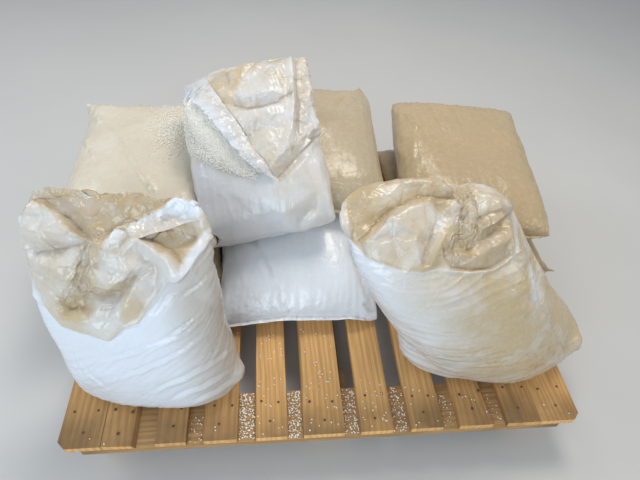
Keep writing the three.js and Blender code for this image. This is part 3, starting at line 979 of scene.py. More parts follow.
def blow_up(skin, node, slack=0.015, loose=None, loose_slack=0.0):
    """Cloth that is cut larger than its place, blown up against it and held back lightly.

    Only its folds are kept: the broad part of the move is taken out again, so the sack keeps its
    outline. slack is how much larger the film is all over. loose marks, from 0 to 1, where it
    is larger still, by loose_slack. The film has nowhere to go, so it buckles into folds.
    """
    before = vertices_of(skin)
    only(skin)
    held = skin.vertex_groups.new(name="held")
    held.add(range(len(before)), HOLD, "REPLACE")
    cloth = skin.modifiers.new("film", "CLOTH")
    settings = cloth.settings
    settings.quality = 3
    settings.mass = 0.15
    settings.bending_stiffness = FILM_BEND
    settings.use_pressure = True
    settings.uniform_pressure_force = FILM_PRESSURE
    settings.effector_weights.gravity = 0
    settings.vertex_group_mass = held.name
    settings.shrink_min = -slack
    if loose is not None:
        group = skin.vertex_groups.new(name="loose")
        weights = np.round(loose, 1)
        for weight in np.unique(weights[weights > 0]):
            group.add(np.flatnonzero(weights == weight).tolist(), float(weight), "REPLACE")
        settings.vertex_group_shrink = group.name
        settings.shrink_max = -loose_slack
    cloth.point_cache.frame_start = 1
    cloth.point_cache.frame_end = FILM_CLOTH_FRAMES
    for frame_number in range(1, FILM_CLOTH_FRAMES + 1):
        bpy.context.scene.frame_set(frame_number)
    bpy.ops.object.modifier_apply(modifier=cloth.name)
    bpy.context.scene.frame_set(1)
    skin.vertex_groups.clear()
    move = vertices_of(skin) - before
    move -= eased(move, skin, FOLD_ROUNDS)
    length = np.linalg.norm(move, axis=1)
    move *= np.minimum(1, SWELL_LIMIT / np.maximum(length, 1e-9))[:, None]
    move_vertices(skin, before)
    out = normals_of(skin)
    outward = (move * out).sum(axis=1)
    excess = np.maximum(outward - np.minimum(room_at(before, node), RISE_LIMIT), 0)
    move_vertices(skin, keep_above_deck(before + move - excess[:, None] * out))
    apply_modifier(skin, "SUBSURF", levels=1, render_levels=1)
    return skin


def finer(skin, marked):
    """Cuts each face whose corners are all marked into four, so that it can hold sharp folds."""
    corners = np.empty(len(skin.data.loops), dtype=np.int32)
    skin.data.loops.foreach_get("vertex_index", corners)
    starts = np.empty(len(skin.data.polygons), dtype=np.int32)
    skin.data.polygons.foreach_get("loop_start", starts)
    chosen = np.logical_and.reduceat(marked[corners], starts)
    only(skin)
    bpy.ops.object.mode_set(mode="EDIT")
    bpy.ops.mesh.select_mode(type="FACE")
    bpy.ops.mesh.select_all(action="DESELECT")
    bpy.ops.object.mode_set(mode="OBJECT")
    skin.data.polygons.foreach_set("select", chosen)
    bpy.ops.object.mode_set(mode="EDIT")
    bpy.ops.mesh.subdivide(number_cuts=1)
    bpy.ops.object.mode_set(mode="OBJECT")


def raise_skin(skin, node, lift):
    """Moves each point along its normal, within its room, and keeps it off the deck."""
    points = vertices_of(skin)
    lift = np.minimum(lift, room_at(points, node))
    move_vertices(skin, keep_above_deck(points + lift[:, None] * normals_of(skin)))


print("quads of", round(FINE / MM, 1), "to", round(COARSE / MM, 1), "mm before they are subdivided")

# %% [markdown]
# Folds are drawn as lines on the skin. A line is a short list of pixels of the photograph,
# dropped on the skin by a ray, and near it the skin rises or sinks by a bell curve. Crushed film
# is a map of crease lines with their rises, and flat triangles span the film between them.

# %% Lines on a skin
WANDER_SEED = 77
FULL_PRESS = 7 * MM
SHALLOWEST_FURROW, DEEPEST_FURROW = 3, 10  # millimetres
NO_RISE = 1e-12


def line_distance(points, line):
    """The distance from each point to a polyline."""
    nearest = np.full(len(points), np.inf)
    for start, end in zip(line, line[1:]):
        start, end = np.array(start), np.array(end)
        run = end - start
        part = np.clip((points - start) @ run / (run @ run), 0, 1)
        nearest = np.minimum(nearest, np.linalg.norm(points - start - part[:, None] * run, axis=1))
    return nearest


def wandering(points, size=24 * MM, amount=4 * MM):
    """Points shifted a little, so that a line drawn on them isn't ruler-straight."""
    shift = [gradient_noise(points / size, WANDER_SEED + axis) for axis in range(3)]
    return points + amount * np.stack(shift, axis=1)


def fold_line(points, tree, pixels, height, width):
    """A ridge, or with a negative height a furrow, along a line of pixels."""
    line = on_skin(tree, pixels)
    if len(line) < 2:
        return np.zeros(len(points))
    return height * np.exp(-(line_distance(points, line) / width) ** 2)


def facet_map(seen, lines):
    """Rises in metres at pixels, linear over the triangles that span given crease lines.

    A line is its pixels and its rise in millimetres, one number or one for each pixel.
    """
    spots, rises, edges = [], [], []
    for pixels, rise in lines:
        edges += [(len(spots) + k, len(spots) + k + 1) for k in range(len(pixels) - 1)]
        spots += [Vector(pixel) for pixel in pixels]
        rises += rise if isinstance(rise, list) else [rise] * len(pixels)
    corners, _, triangles, origin, _, _ = delaunay_2d_cdt(spots, edges, [], 0, 1e-3)
    levels = [rises[ids[0]] if ids else 0.0 for ids in origin]
    lift = np.zeros(len(seen))
    for triangle in triangles:
        first, second, third = (np.array(corners[corner]) for corner in triangle)
        across, along, reach = second - first, third - first, seen - first
        area = across[0] * along[1] - across[1] * along[0]
        u = (reach[:, 0] * along[1] - reach[:, 1] * along[0]) / area
        v = (across[0] * reach[:, 1] - across[1] * reach[:, 0]) / area
        level = [levels[corner] for corner in triangle]
        height = level[0] + u * (level[1] - level[0]) + v * (level[2] - level[0])
        lift = np.where((u >= 0) & (v >= 0) & (u + v <= 1), height * MM, lift)
    return lift


def furrow_dirt_and_shade(seen, lines, width=1.7):
    """1 along the furrows of a facet map and 0 away from them; dirt and painted shade go there."""
    mark = np.zeros(len(seen))
    for pixels, rise in lines:
        depth = -np.mean(rise)
        if depth > SHALLOWEST_FURROW:
            near = np.exp(-(line_distance(seen, pixels) / width) ** 2)
            mark = np.maximum(mark, near * min(1, depth / DEEPEST_FURROW))
    return mark


def painted(seen, areas, blur=3.0):
    """A value from 0 to 1 at each pixel. Each area is an outline and its level; later ones win."""
    value = np.zeros(len(seen))
    for outline, level in areas:
        inside = ramp(polygon_depth(seen, outline), -blur, blur)
        value = value * (1 - inside) + level * inside
    return value


def near_spot(points, tree, pixel, size):
    """A bell curve round the place on the skin that this pixel shows."""
    spot = np.array(on_skin(tree, [pixel])[0])
    return np.exp(-(np.linalg.norm(points - spot, axis=1) / size) ** 2)


def facing_camera(skin):
    """1 where the skin faces the camera, 0 where it turns away."""
    toward = np.array(EYE) - vertices_of(skin)
    toward /= np.linalg.norm(toward, axis=1)[:, None]
    return ramp((normals_of(skin) * toward).sum(axis=1), 0.02, 0.25)


def polygon_depth(spots, outline):
    """How far each flat spot lies inside an outline; negative outside."""
    inside = np.zeros(len(spots), bool)
    for start, end in zip(outline, outline[1:] + outline[:1]):
        crosses = (start[1] > spots[:, 1]) != (end[1] > spots[:, 1])
        rise = (end[1] - start[1]) or NO_RISE
        reach = start[0] + (spots[:, 1] - start[1]) * (end[0] - start[0]) / rise
        inside ^= crosses & (spots[:, 0] < reach)
    nearest = line_distance(spots, outline + outline[:1])
    return np.where(inside, nearest, -nearest)


def flat_noise(across, along, seed):
    """Smooth noise over two numbers for each point."""
    across, along = np.broadcast_arrays(across, along)
    return gradient_noise(np.stack([across, along, np.zeros(len(across))], axis=1), seed)


def ripples(across, along, width, length, seed):
    """Thin parallel wrinkles: ridged noise that is much longer than wide."""
    return (1 - np.abs(flat_noise(across / width, along / length, seed))) ** 4


def lumps(points, size, seed):
    """Soft lumps of about this size, from about -1 to 1."""
    return gradient_noise(points / size, seed)


def wandering_pixels(points):
    """Where the camera sees the points, shifted a little."""
    return to_pixels(wandering(points, 30 * MM, 1.5 * MM))


def drawn_relief(skin, wander, lines, strength):
    """A facet map where the skin faces the camera, eased once over its neighbours."""
    rises = strength * facet_map(wander, lines)
    return facing_camera(skin) * eased(rises[:, None], skin, 1)[:, 0]


def crease_mask(lift):
    """How far a point was pressed in by the folds, from 0 to 1."""
    return np.clip(-lift / FULL_PRESS, 0, 1)


print("a square 10 wide holds its middle",
      polygon_depth(np.array([[5.0, 5.0]]), [(0, 0), (10, 0), (10, 10), (0, 10)])[0], "deep")

# %% [markdown]
# Film that hangs free is a thin sheet between two lines, with its own bow, crumple and ragged
# rim. Hems, flaps and the strips along the tear are all made so, and joined to their sack.

# %% Loose film
FILM_THICKNESS = 0.9 * MM
LOOSE_FACET = 34 * MM
LOOSE_CRUSH = 0.7
TEAR_LENGTH = 2.2  # columns of the sheet


def along_line(line, count):
    """A polyline as points at even steps."""
    line = np.array([tuple(point) for point in line])
    lengths = np.concatenate([[0], np.cumsum(np.linalg.norm(np.diff(line, axis=0), axis=1))])
    spots = np.linspace(0, lengths[-1], count)
    return np.stack([np.interp(spots, lengths, line[:, axis]) for axis in range(3)], axis=1)


def film_band(name, foot, rim, columns, rows, bulge, crumple, seed, ragged=0.0, tan=(0, 0)):
    """A thin sheet between two lines. bulge bows it out, crumple creases it, ragged tears it.

    tan gives the stain at the foot and at the rim.
    """
    foot, rim = along_line(foot, columns), along_line(rim, columns)
    tear = ragged * flat_noise(np.arange(columns) / TEAR_LENGTH, seed, seed)
    rim = rim + (rim - foot) * tear[:, None]
    part = np.linspace(0, 1, rows)[None, :, None]
    sheet = foot[:, None, :] * (1 - part) + rim[:, None, :] * part
    out = np.cross(np.gradient(foot, axis=0), rim - foot)
    out /= np.maximum(np.linalg.norm(out, axis=1), 1e-9)[:, None]
    flat = sheet.reshape(-1, 3)
    bow = np.sin(np.pi * part[..., 0]) * bulge
    wave = (facets(flat / LOOSE_FACET, seed) * crumple).reshape(columns, rows)
    wave *= ramp(part[..., 0], 0.0, 0.3)
    sheet = sheet + out[:, None, :] * (bow + wave)[..., None]
    index = np.arange(columns * rows).reshape(columns, rows)
    quads = np.stack([index[:-1, :-1], index[1:, :-1], index[1:, 1:], index[:-1, 1:]], axis=-1)
    band = mesh_object(name, sheet.reshape(-1, 3), quads.reshape(-1, 4).tolist())
    stain = tan[0] + (tan[1] - tan[0]) * ramp(part[..., 0], 0.55, 0.95)
    store(band, "tan", np.broadcast_to(stain, (columns, rows)))
    store(band, "crush", np.full(columns * rows, LOOSE_CRUSH))
    store(band, "crease", np.zeros(columns * rows))
    apply_modifier(band, "SOLIDIFY", thickness=FILM_THICKNESS, offset=0)
    apply_modifier(band, "SUBSURF", levels=1, render_levels=1)
    return band


def join_film(skin, bands):
    """Joins loose film to its sack."""
    deselect_all()
    for piece in [*bands, skin]:
        piece.select_set(True)
    bpy.context.view_layer.objects.active = skin
    bpy.ops.object.join()


def mark(skin, tan, crease, crush):
    """What the film material reads at each vertex: stain, dirt and painted shade in folds, and how
    crushed.
    """
    for name, values in (("tan", tan), ("crease", crease), ("crush", crush)):
        store(skin, name, np.clip(values, 0, 1))


def finish_sack(skin, node, material):
    """Gives the skin its material and smooth shading, hangs it on the root and hides the solid it
    stands for.
    """
    skin.data.materials.append(material)
    skin.data.shade_smooth()
    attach(skin, "root")
    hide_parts(node)


print("film is", round(FILM_THICKNESS / MM, 1), "mm thick")

# %% [markdown]
# ## Sacks that lie
# A lying sack is a pillow between two welded ends. `sack_directions` finds its long and cross
# directions from the solid. Every one gets soft lumps, small ripples that run from end to end
# near the welds, and a flat welded hem at both ends.

# %% What lying sacks share
HEM_WIDTH = 13 * MM


def sack_directions(node):
    """The centre of a solid and its long and cross directions, both level."""
    points = vertices_of(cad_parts[node])
    centre = (points.min(axis=0) + points.max(axis=0)) / 2
    flat = points[:, :2] - points[:, :2].mean(axis=0)
    _, vectors = np.linalg.eigh(flat.T @ flat)
    long_way = np.append(vectors[:, 1], 0)
    long_way *= 1 if long_way[1] > 0 else -1
    cross = np.array([long_way[1], -long_way[0], 0])
    return centre, long_way, cross


def weld_line(points, centre, outward, cross, count):
    """The outermost point of the skin in each of several strips, from side to side."""
    reach = (points - centre) @ outward
    side = (points - centre) @ cross
    edges = np.linspace(side.min() * 0.93, side.max() * 0.93, count + 1)
    line = []
    for low, high in zip(edges, edges[1:]):
        strip = np.flatnonzero((side >= low) & (side < high))
        line.append(points[strip[np.argmax(reach[strip])]])
    line = np.array(line)
    smooth = line.copy()
    smooth[1:-1] = (line[:-2] + line[1:-1] + line[2:]) / 3
    return smooth


def end_hem(skin, node, outward, seed):
    """A welded hem along one end: a narrow double layer of film with a slight wave."""
    centre, _, cross = sack_directions(node)
    line = weld_line(vertices_of(skin), centre, outward, cross, 22)
    wave = flat_noise(line @ cross / (70 * MM), seed * 1.7, seed)
    rise = np.array([0, 0, 1])
    foot = line - 7 * MM * outward
    taper = np.sin(np.pi * np.linspace(0.04, 0.96, len(line)))[:, None] ** 0.35
    rim = line + HEM_WIDTH * taper * outward + (wave[:, None] * 5 * MM - 1 * MM) * rise
    return film_band(f"{node}_hem", foot, rim, 60, 4, 0, 1.2 * MM, seed, 0, (0.3, 0.1))


def lie_relief(points, node, seed):
    """Lumps and end ripples that all lying sacks share."""
    centre, long_way, cross = sack_directions(node)
    reach = (points - centre) @ long_way
    side = (points - centre) @ cross
    half = np.abs(reach).max()
    ends = ramp(np.abs(reach) / half, 0.45, 0.95)
    lift = 5 * MM * lumps(points, 150 * MM, seed) + 1.2 * MM * lumps(points, 60 * MM, seed + 3)
    bent = side + 12 * MM * lumps(points, 160 * MM, seed + 7)
    lift += ends * 2.4 * MM * ripples(bent, reach, 21 * MM, 150 * MM, seed + 5)
    lift += 0.9 * MM * ripples(bent, reach, 14 * MM, 110 * MM, seed + 9)
    return lift - 1 * MM


print("a hem is", round(HEM_WIDTH / MM), "mm wide")

# %% [markdown]
# Six sacks lie and are whole. Each has its film, its slot, the size of its quads, its stain and
# its seed. The four that the photograph shows well get their folds too, as lines of pixels with
# a rise and a width.

# %% The plain lying sacks
PLAIN_SACKS = {
    "sack_lower_left": (dusty_film, "dusty_film", COARSE, 0.5, 21),
    "sack_lower_right": (dusty_film, "dusty_film", COARSE, 0.6, 22),
    "sack_back_left": (cream_film, "cream_film", MEDIUM, 0.45, 23),
    "sack_back_centre": (pale_dusty_film, "dusty_film", MEDIUM, 0.25, 24),
    "sack_back_right": (dusty_film, "dusty_film", MEDIUM, 0.25, 25),
    "sack_lower_centre": (white_film, "white_film", MEDIUM, 0.12, 26),
}
FOLDS = {
    "sack_back_left": [
        ([(97, 118), (118, 143), (153, 190)], 7 * MM, 9 * MM),
        ([(101, 122), (121, 150), (150, 193)], -4 * MM, 6 * MM),
        ([(88, 122), (86, 140), (93, 156)], 6 * MM, 6 * MM),
        ([(84, 106), (98, 119)], -6 * MM, 10 * MM),
    ],
    "sack_back_centre": [
        ([(357, 84), (352, 98), (344, 108)], 4 * MM, 5 * MM),
        ([(353, 84), (345, 96), (336, 104)], -3 * MM, 5 * MM),
        ([(371, 112), (379, 150), (383, 178)], -4 * MM, 8 * MM),
        ([(362, 90), (372, 112)], 5 * MM, 7 * MM),
    ],
    "sack_back_right": [
        ([(396, 102), (407, 115), (416, 127)], 6 * MM, 7 * MM),
        ([(416, 127), (413, 150), (411, 168)], 2 * MM, 8 * MM),
        ([(431, 108), (438, 122), (444, 133)], -2.5 * MM, 4 * MM),
        ([(437, 108), (446, 122), (455, 134)], 2.5 * MM, 4 * MM),
        ([(452, 109), (462, 125)], -2.5 * MM, 4 * MM),
        ([(467, 110), (476, 126)], 2.5 * MM, 4 * MM),
    ],
    "sack_lower_centre": [
        ([(247, 240), (262, 270), (282, 312), (290, 327)], 5 * MM, 7 * MM),
        ([(254, 238), (270, 270), (289, 312), (296, 326)], -4 * MM, 6 * MM),
        ([(236, 250), (246, 285), (262, 322)], 3 * MM, 6 * MM),
        ([(352, 250), (362, 285), (374, 312)], -3 * MM, 8 * MM),
        ([(366, 305), (371, 312), (377, 320)], -6 * MM, 8 * MM),
    ],
}


def lying_sack(node, material, voxel, stain, seed):
    """One whole sack that lies, from its solid to its finished piece."""
    skin = blow_up(film_skin(node, voxel, 5), node)
    tree = tree_of(skin)
    points = vertices_of(skin)
    lift = lie_relief(points, node, seed)
    bent = wandering(points)
    drawn = np.zeros(len(points))
    for pixels, height, width in FOLDS.get(node, []):
        drawn += fold_line(bent, tree, pixels, height, width)
    raise_skin(skin, node, lift + drawn)
    centre, long_way, _ = sack_directions(node)
    hems = [end_hem(skin, node, way, seed + k) for k, way in enumerate((long_way, -long_way))]
    upward = ramp(normals_of(skin)[:, 2], -0.2, 0.6)
    reach = np.abs((points - centre) @ long_way)
    # Where the folds press in, the film is darker: dirt with painted shade.
    mark(skin, stain * (0.5 + 0.5 * upward), crease_mask(drawn) * 0.5,
         0.05 + 0.25 * ramp(reach / reach.max(), 0.75, 1.0))
    join_film(skin, hems)
    finish_sack(skin, node, material)
    return skin


for node, (material, slot, voxel, stain, seed) in PLAIN_SACKS.items():
    skin = lying_sack(node, material, voxel, stain, seed)
    print(node, len(skin.data.polygons), "faces")

# %% [markdown]
# ## Sacks that stand
# A standing sack is easiest to think of as a tube. The angle about its own leaning axis and
# the height give every point an address, and the stained collar at the top ends at an edge
# whose height is a function of that angle.

# %% Addresses on a standing sack
TUBE_RADIUS = 190 * MM
TUBE_LEVELS = 9
STAND_SLACK = 0.010
FOLDED_FROM = 0.26  # metres above the deck


def tube_address(points, node):
    """For each point: its angle about the leaning axis, the distance round, and the height."""
    solid = vertices_of(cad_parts[node])
    levels = np.linspace(solid[:, 2].min(), solid[:, 2].max(), TUBE_LEVELS)
    spots = []
    for low, high in zip(levels, levels[1:]):
        ring = solid[(solid[:, 2] >= low - 4 * MM) & (solid[:, 2] <= high + 4 * MM)]
        spots.append((ring[:, :2].min(axis=0) + ring[:, :2].max(axis=0)) / 2)
    spots = np.array(spots)
    middles = (levels[:-1] + levels[1:]) / 2
    axis_x = np.interp(points[:, 2], middles, spots[:, 0])
    axis_y = np.interp(points[:, 2], middles, spots[:, 1])
    angle = np.arctan2(points[:, 1] - axis_y, points[:, 0] - axis_x)
    return angle, angle * TUBE_RADIUS, points[:, 2] - DECK_TOP


def edge_height(angle, node, tree, pixels, unseen):
    """The height of the collar's edge at each angle: where the pixels land, and unseen points."""
    landed = np.array([tuple(point) for point in on_skin(tree, pixels)])
    angles, _, heights = tube_address(landed, node)
    angles = np.append(angles, [math.radians(degrees) for degrees, _ in unseen])
    heights = np.append(heights, [height for _, height in unseen])
    order = np.argsort(angles)
    return np.interp(angle, angles[order], heights[order], period=2 * math.pi)


def standing_skin(node, loose_heights, loose_slack, stains):
    """The skin of a standing sack: looser towards its top, and finer where its stains lie."""
    skin = film_skin(node, FINE, 4)
    loose = ramp(vertices_of(skin)[:, 2] - DECK_TOP, *loose_heights)
    blow_up(skin, node, STAND_SLACK, loose, loose_slack)
    points = vertices_of(skin)
    finer(skin, (painted(to_pixels(points), stains, 8) > 0) & (facing_camera(skin) > 0)
          & (points[:, 2] > DECK_TOP + FOLDED_FROM))
    return skin


print("a standing sack is taken as a tube of", round(TUBE_RADIUS / MM), "mm radius")

# %% [markdown]
# ## The open sack at the front left
# Its mouth was cut, and the film above the pellets is stained tan, crushed, and folded outward
# as a cuff whose lower edge makes a V in front. The white body below has long thin wrinkles
# that sweep up to the right. A flap stands up at the back left and a torn white lip at the
# right, and pellets lie in the mouth.

# %% Shape the open sack
OPEN_SACK = "sack_front_left_open"
CUFF_EDGE = [(29, 268), (48, 306), (64, 325), (88, 333), (111, 338), (125, 325), (139, 322),
             (158, 300), (175, 280), (190, 262), (206, 240)]
CUFF_UNSEEN = [(40, 0.47), (90, 0.43), (140, 0.40), (170, 0.37)]
CUFF_STEP = 4.5 * MM
OPEN_FACETS = [
    ([(8, 176), (120, 166), (222, 180), (236, 250), (246, 330), (230, 420), (70, 400), (10, 300),
      (8, 176)], 0),
    ([(27, 266), (46, 306), (62, 327), (88, 335), (111, 341), (127, 329), (141, 325), (160, 303),
      (178, 283)], 0),
    ([(29, 212), (27, 236), (34, 262)], 4),
    ([(36, 203), (46, 209), (60, 223), (72, 232), (84, 239)], [6, 8, 8, 6, 0]),
    ([(46, 200), (62, 212), (80, 228), (88, 236)], [-4, -10, -9, -6]),
    ([(62, 196), (76, 208), (88, 226)], [2, 6, 2]),
    ([(36, 253), (58, 249), (78, 244)], [-4, -10, -8]),
    ([(44, 232), (62, 236)], [5, 6]),
    ([(40, 274), (58, 266), (70, 262)], [3, 7, 5]),
    ([(50, 302), (60, 312), (74, 318), (92, 321), (104, 327)], [4, 6, 6, 5, 4]),
    ([(58, 296), (72, 308), (88, 310)], [-2, -9, -6]),
    ([(88, 240), (86, 262), (82, 284), (67, 301)], [-5, -5, -5, -2]),
    ([(79, 252), (75, 280), (64, 297)], [3, 4, 2]),
    ([(96, 244), (97, 268), (92, 288)], [5, 6, 2]),
    ([(98, 284), (112, 285), (126, 274), (134, 266)], [5, 10, 9, 6]),
    ([(92, 293), (104, 295), (119, 292), (136, 276)], [-9, -12, -11, -6]),
    ([(104, 262), (120, 256)], [-2, 4]),
    ([(138, 282), (129, 299), (123, 326)], [4, 7, 5]),
    ([(100, 304), (108, 320), (111, 337)], [-2, -1, 6]),
    ([(156, 286), (144, 308)], [-4, -3]),
    ([(126, 237), (136, 241), (151, 249), (167, 257), (177, 276)], [8, 12, 13, 14, 14]),
    ([(140, 252), (156, 266), (166, 282)], [0, -3, 1]),
    ([(138, 234), (155, 241), (172, 247), (181, 262)], [-4, -12, -14, -4]),
    ([(150, 228), (172, 230), (194, 238)], [-8, -13, -10]),
    ([(207, 234), (199, 250), (187, 267), (179, 277)], [6, 11, 12, 8]),
    ([(110, 246), (122, 233), (136, 225), (164, 212), (178, 203), (191, 203)], [6, 10, 10, 9, 9, 7]),
    ([(118, 249), (130, 237), (144, 228), (166, 219), (186, 213)], [0, -6, -8, -7, -5]),
    ([(98, 238), (108, 234), (124, 222), (140, 214), (164, 203), (176, 196)], 0),
]
GATHER = [(93, 240), (89, 262), (81, 285), (70, 302)]
BODY_FOLDS = [
    [(100, 362), (128, 352), (160, 340), (188, 322), (206, 304)],
    [(118, 377), (150, 365), (182, 349), (208, 330)],
    [(160, 343), (184, 331), (205, 312)],
    [(146, 393), (184, 377), (214, 359), (233, 342)],
    [(170, 399), (204, 385), (234, 364)],
    [(190, 402), (216, 390), (238, 372)],
    [(140, 353), (170, 337), (196, 315)],
    [(176, 301), (194, 285), (207, 268)],
    [(70, 338), (77, 362), (90, 386)],
    [(76, 352), (92, 374), (116, 393)],
]
BODY_SLANT = math.radians(38)
OPEN_CORNER, OPEN_CORNER_RISE = (236, 371), 22 * MM
OPEN_STAINS = [
    ([(24, 194), (27, 262), (46, 306), (62, 327), (88, 335), (111, 341), (127, 329), (141, 325),
      (160, 303), (178, 283), (190, 266), (212, 236), (204, 204), (170, 186), (110, 180),
      (60, 178), (28, 186)], 0.66),
    ([(26, 186), (58, 180), (96, 192), (106, 190), (124, 198), (112, 216), (94, 238), (84, 240),
      (70, 228), (52, 212), (34, 204)], 1.4),
    # Inside the mouth, behind the lip: stain with painted shade.
    ([(94, 186), (170, 184), (186, 196), (176, 200), (164, 208), (136, 222), (112, 241),
      (96, 244), (88, 236), (112, 214)], 1.3),
    ([(27, 214), (40, 208), (62, 228), (76, 240), (72, 262), (40, 262), (30, 250)], 0.6),
    ([(88, 238), (106, 242), (104, 262), (98, 286), (84, 302), (64, 306), (58, 294), (72, 276),
      (76, 252)], 0.85),
    ([(58, 300), (80, 298), (92, 312), (88, 322), (66, 318)], 0.95),
    ([(104, 252), (124, 256), (126, 272), (112, 282), (100, 276)], 0.5),
    ([(96, 300), (120, 296), (124, 318), (111, 337), (92, 328)], 0.45),
    ([(126, 300), (140, 296), (146, 312), (132, 322), (122, 318)], 0.85),
    ([(128, 236), (166, 256), (178, 278), (150, 285), (134, 270)], 0.6),
    ([(140, 228), (172, 220), (200, 228), (205, 236), (184, 268), (177, 268), (172, 257),
      (152, 246), (136, 237)], 0.95),
    ([(207, 230), (200, 252), (187, 270), (179, 281), (176, 272), (190, 250), (201, 236)], 0.2),
    ([(106, 248), (122, 229), (136, 221), (164, 207), (178, 198), (194, 197), (200, 216),
      (188, 220), (168, 215), (140, 228), (120, 240)], 0.0),
]


def pressed_folds(seen, wander, folds):
    """Each fold is a furrow with a ridge just below it, and fades towards its ends."""
    lift = np.zeros(len(seen))
    for pixels in folds:
        away = line_distance(wander, pixels)
        below = line_distance(wander, [(x + 1.5, y + 2.6) for x, y in pixels])
        ends = np.linalg.norm(seen - np.mean(pixels, axis=0), axis=1) / np.ptp(pixels, axis=0).max()
        lift += ramp(-ends, -0.62, -0.25) * MM * (
            3.0 * np.exp(-(below / 1.9) ** 2) - 3.8 * np.exp(-(away / 1.3) ** 2))
    return lift


def shape_open_sack():
    """Cuff, gather, body wrinkles, stains and painted shade of the open sack."""
    skin = standing_skin(OPEN_SACK, (0.28, 0.42), 0.035, OPEN_STAINS)
    tree = tree_of(skin)
    points = vertices_of(skin)
    seen = to_pixels(points)
    facing = facing_camera(skin)
    angle, around, height = tube_address(points, OPEN_SACK)
    above = height - edge_height(angle, OPEN_SACK, tree, CUFF_EDGE, CUFF_UNSEEN)
    cuff = ramp(above, -2 * MM, 2 * MM)
    crushed = ramp(above, 4 * MM, 60 * MM)
    lift = 4 * MM * lumps(points, 150 * MM, 31)
    lift += CUFF_STEP * cuff + 2 * MM * np.exp(-(above / (5 * MM)) ** 2)
    lift += (1 - facing) * crushed * 12 * MM * facets(points / (75 * MM), 32)
    gather = np.exp(-(line_distance(seen, GATHER) / 12) ** 4) * facing * cuff
    lift += (crushed + 0.5 * gather) * 6 * MM * facets(points / (34 * MM), 33, 25)
    crumple = facets(points * (1, 1, 0.7) / (12 * MM), 39, 25)
    lift += gather * 3 * MM * crumple
    sideways = seen[:, 0] - np.interp(seen[:, 1], *np.array(GATHER).T[::-1])
    lift += gather * 4 * MM * (ripples(sideways, seen[:, 1], 3.5, 40, 40) - 0.5)
    across = height * math.cos(BODY_SLANT) - around * math.sin(BODY_SLANT)
    along = around * math.cos(BODY_SLANT) + height * math.sin(BODY_SLANT)
    bent = across + 14 * MM * lumps(points, 170 * MM, 34)
    busy = (1 - crushed) * ramp(gradient_noise(points / (140 * MM), 35), -0.5, 0.4)
    lift += busy * 1.7 * MM * ripples(bent, along, 17 * MM, 210 * MM, 36)
    lift += (1 - cuff) * 1.2 * MM * ripples(bent, along, 10 * MM, 120 * MM, 37)
    wander = wandering_pixels(points)
    lift += (1 - cuff) * facing * pressed_folds(seen, wander, BODY_FOLDS)
    lift += OPEN_CORNER_RISE * near_spot(points, tree, OPEN_CORNER, 25 * MM)
    drawn = drawn_relief(skin, wander, OPEN_FACETS, 1.35)
    raise_skin(skin, OPEN_SACK, lift + drawn)
    blotches = 1 + 0.3 * lumps(points, 45 * MM, 38)
    unseen = cuff * (0.6 + 0.3 * lumps(points, 90 * MM, 38))
    tan = facing * cuff * painted(wander, OPEN_STAINS) * blotches + (1 - facing) * unseen
    # Painted shade: the body gets darker towards its right side, which turns away from the light. It
    # is added to the stain and to the fold dirt.
    painted_shade_side = ramp(seen[:, 0] - 0.33 * (seen[:, 1] - 300), 145, 198) * (1 - cuff)
    # Dirt with painted shade: darker in the hollows of the crumpled gather, along the drawn furrows
    # and where folds press in.
    dirt = gather * (0.04 + 0.12 * np.clip(-3 * crumple, 0, 1))
    dirt = np.maximum(dirt, 0.8 * facing * cuff * furrow_dirt_and_shade(wander, OPEN_FACETS, 1.4))
    dirt = np.maximum(dirt, 0.25 * crease_mask(drawn) * cuff) + 0.42 * painted_shade_side
    # Stain above 0.95 darkens further: the stain of the back flap, and painted shade inside the
    # mouth.
    dirt = np.maximum(dirt, 0.38 * facing * ramp(tan, 0.95, 1.3))
    mark(skin, np.maximum(tan, 0.36 * painted_shade_side), dirt, 0.05 + 0.28 * crushed + 0.45 * gather)
    return skin


LIP_FOOT = [(112, 253), (124, 247), (138, 239), (152, 234), (168, 230), (184, 224), (200, 220)]
LIP_RIM = [(107, 245), (119, 235), (131, 224), (143, 217), (160, 210), (171, 203), (191, 200)]


def open_sack_flaps(tree):
    """The flap that stands at the back left, the pleat beside it, and the rolled white lip."""
    flap = film_band("back_flap",
                     [at_height((34, 206), 0.50), at_height((52, 200), 0.525),
                      at_height((76, 202), 0.52), at_height((94, 206), 0.51)],
                     [at_height((30, 192), 0.53), at_height((50, 186), 0.55),
                      at_height((78, 190), 0.55), at_height((95, 197), 0.535)],
                     50, 14, 5 * MM, 12 * MM, 41, 0.05, (1.0, 0.9))
    pleat = film_band("pleat",
                      [at_height((96, 207), 0.515), at_height((108, 214), 0.495),
                       at_height((120, 204), 0.52)],
                      [at_height((95, 197), 0.535), at_height((106, 192), 0.54),
                       at_height((121, 197), 0.53)],
                      20, 10, -4 * MM, 5 * MM, 42, 0.02, (1.0, 1.0))
    ends = on_skin(tree, [LIP_FOOT[0], LIP_FOOT[-1]])
    heights = np.linspace(ends[0].z, ends[-1].z, len(LIP_FOOT)) - DECK_TOP
    print("the lip rises from", round(heights[0], 3), "to", round(heights[-1], 3))
    foot = []
    for pixel, height in zip(LIP_FOOT, heights):
        behind = on_skin(tree, [pixel])[0].z - DECK_TOP
        foot.append(at_height(pixel, (height + behind) / 2 + 1 * MM))
    rim = [at_height(pixel, height + 12 * MM) for pixel, height in zip(LIP_RIM, heights)]
    lip = film_band("rolled_lip", foot, rim, 90, 9, -4 * MM, 6 * MM, 43, 0.12, (0.55, 0.25))
    return [flap, pleat, lip]


skin = shape_open_sack()
join_film(skin, open_sack_flaps(tree_of(skin)))
finish_sack(skin, OPEN_SACK, white_film)
print("open sack", len(skin.data.polygons), "faces")

# %% [markdown]
# ## The tied sack at the front right
# It leans to the left, and its top was twisted and crushed shut, so creases run together near
# the middle of the top, where the film is brown. Lower down the film is white at the left and
# cream at the right, with close wrinkles where it bulges over the deck.

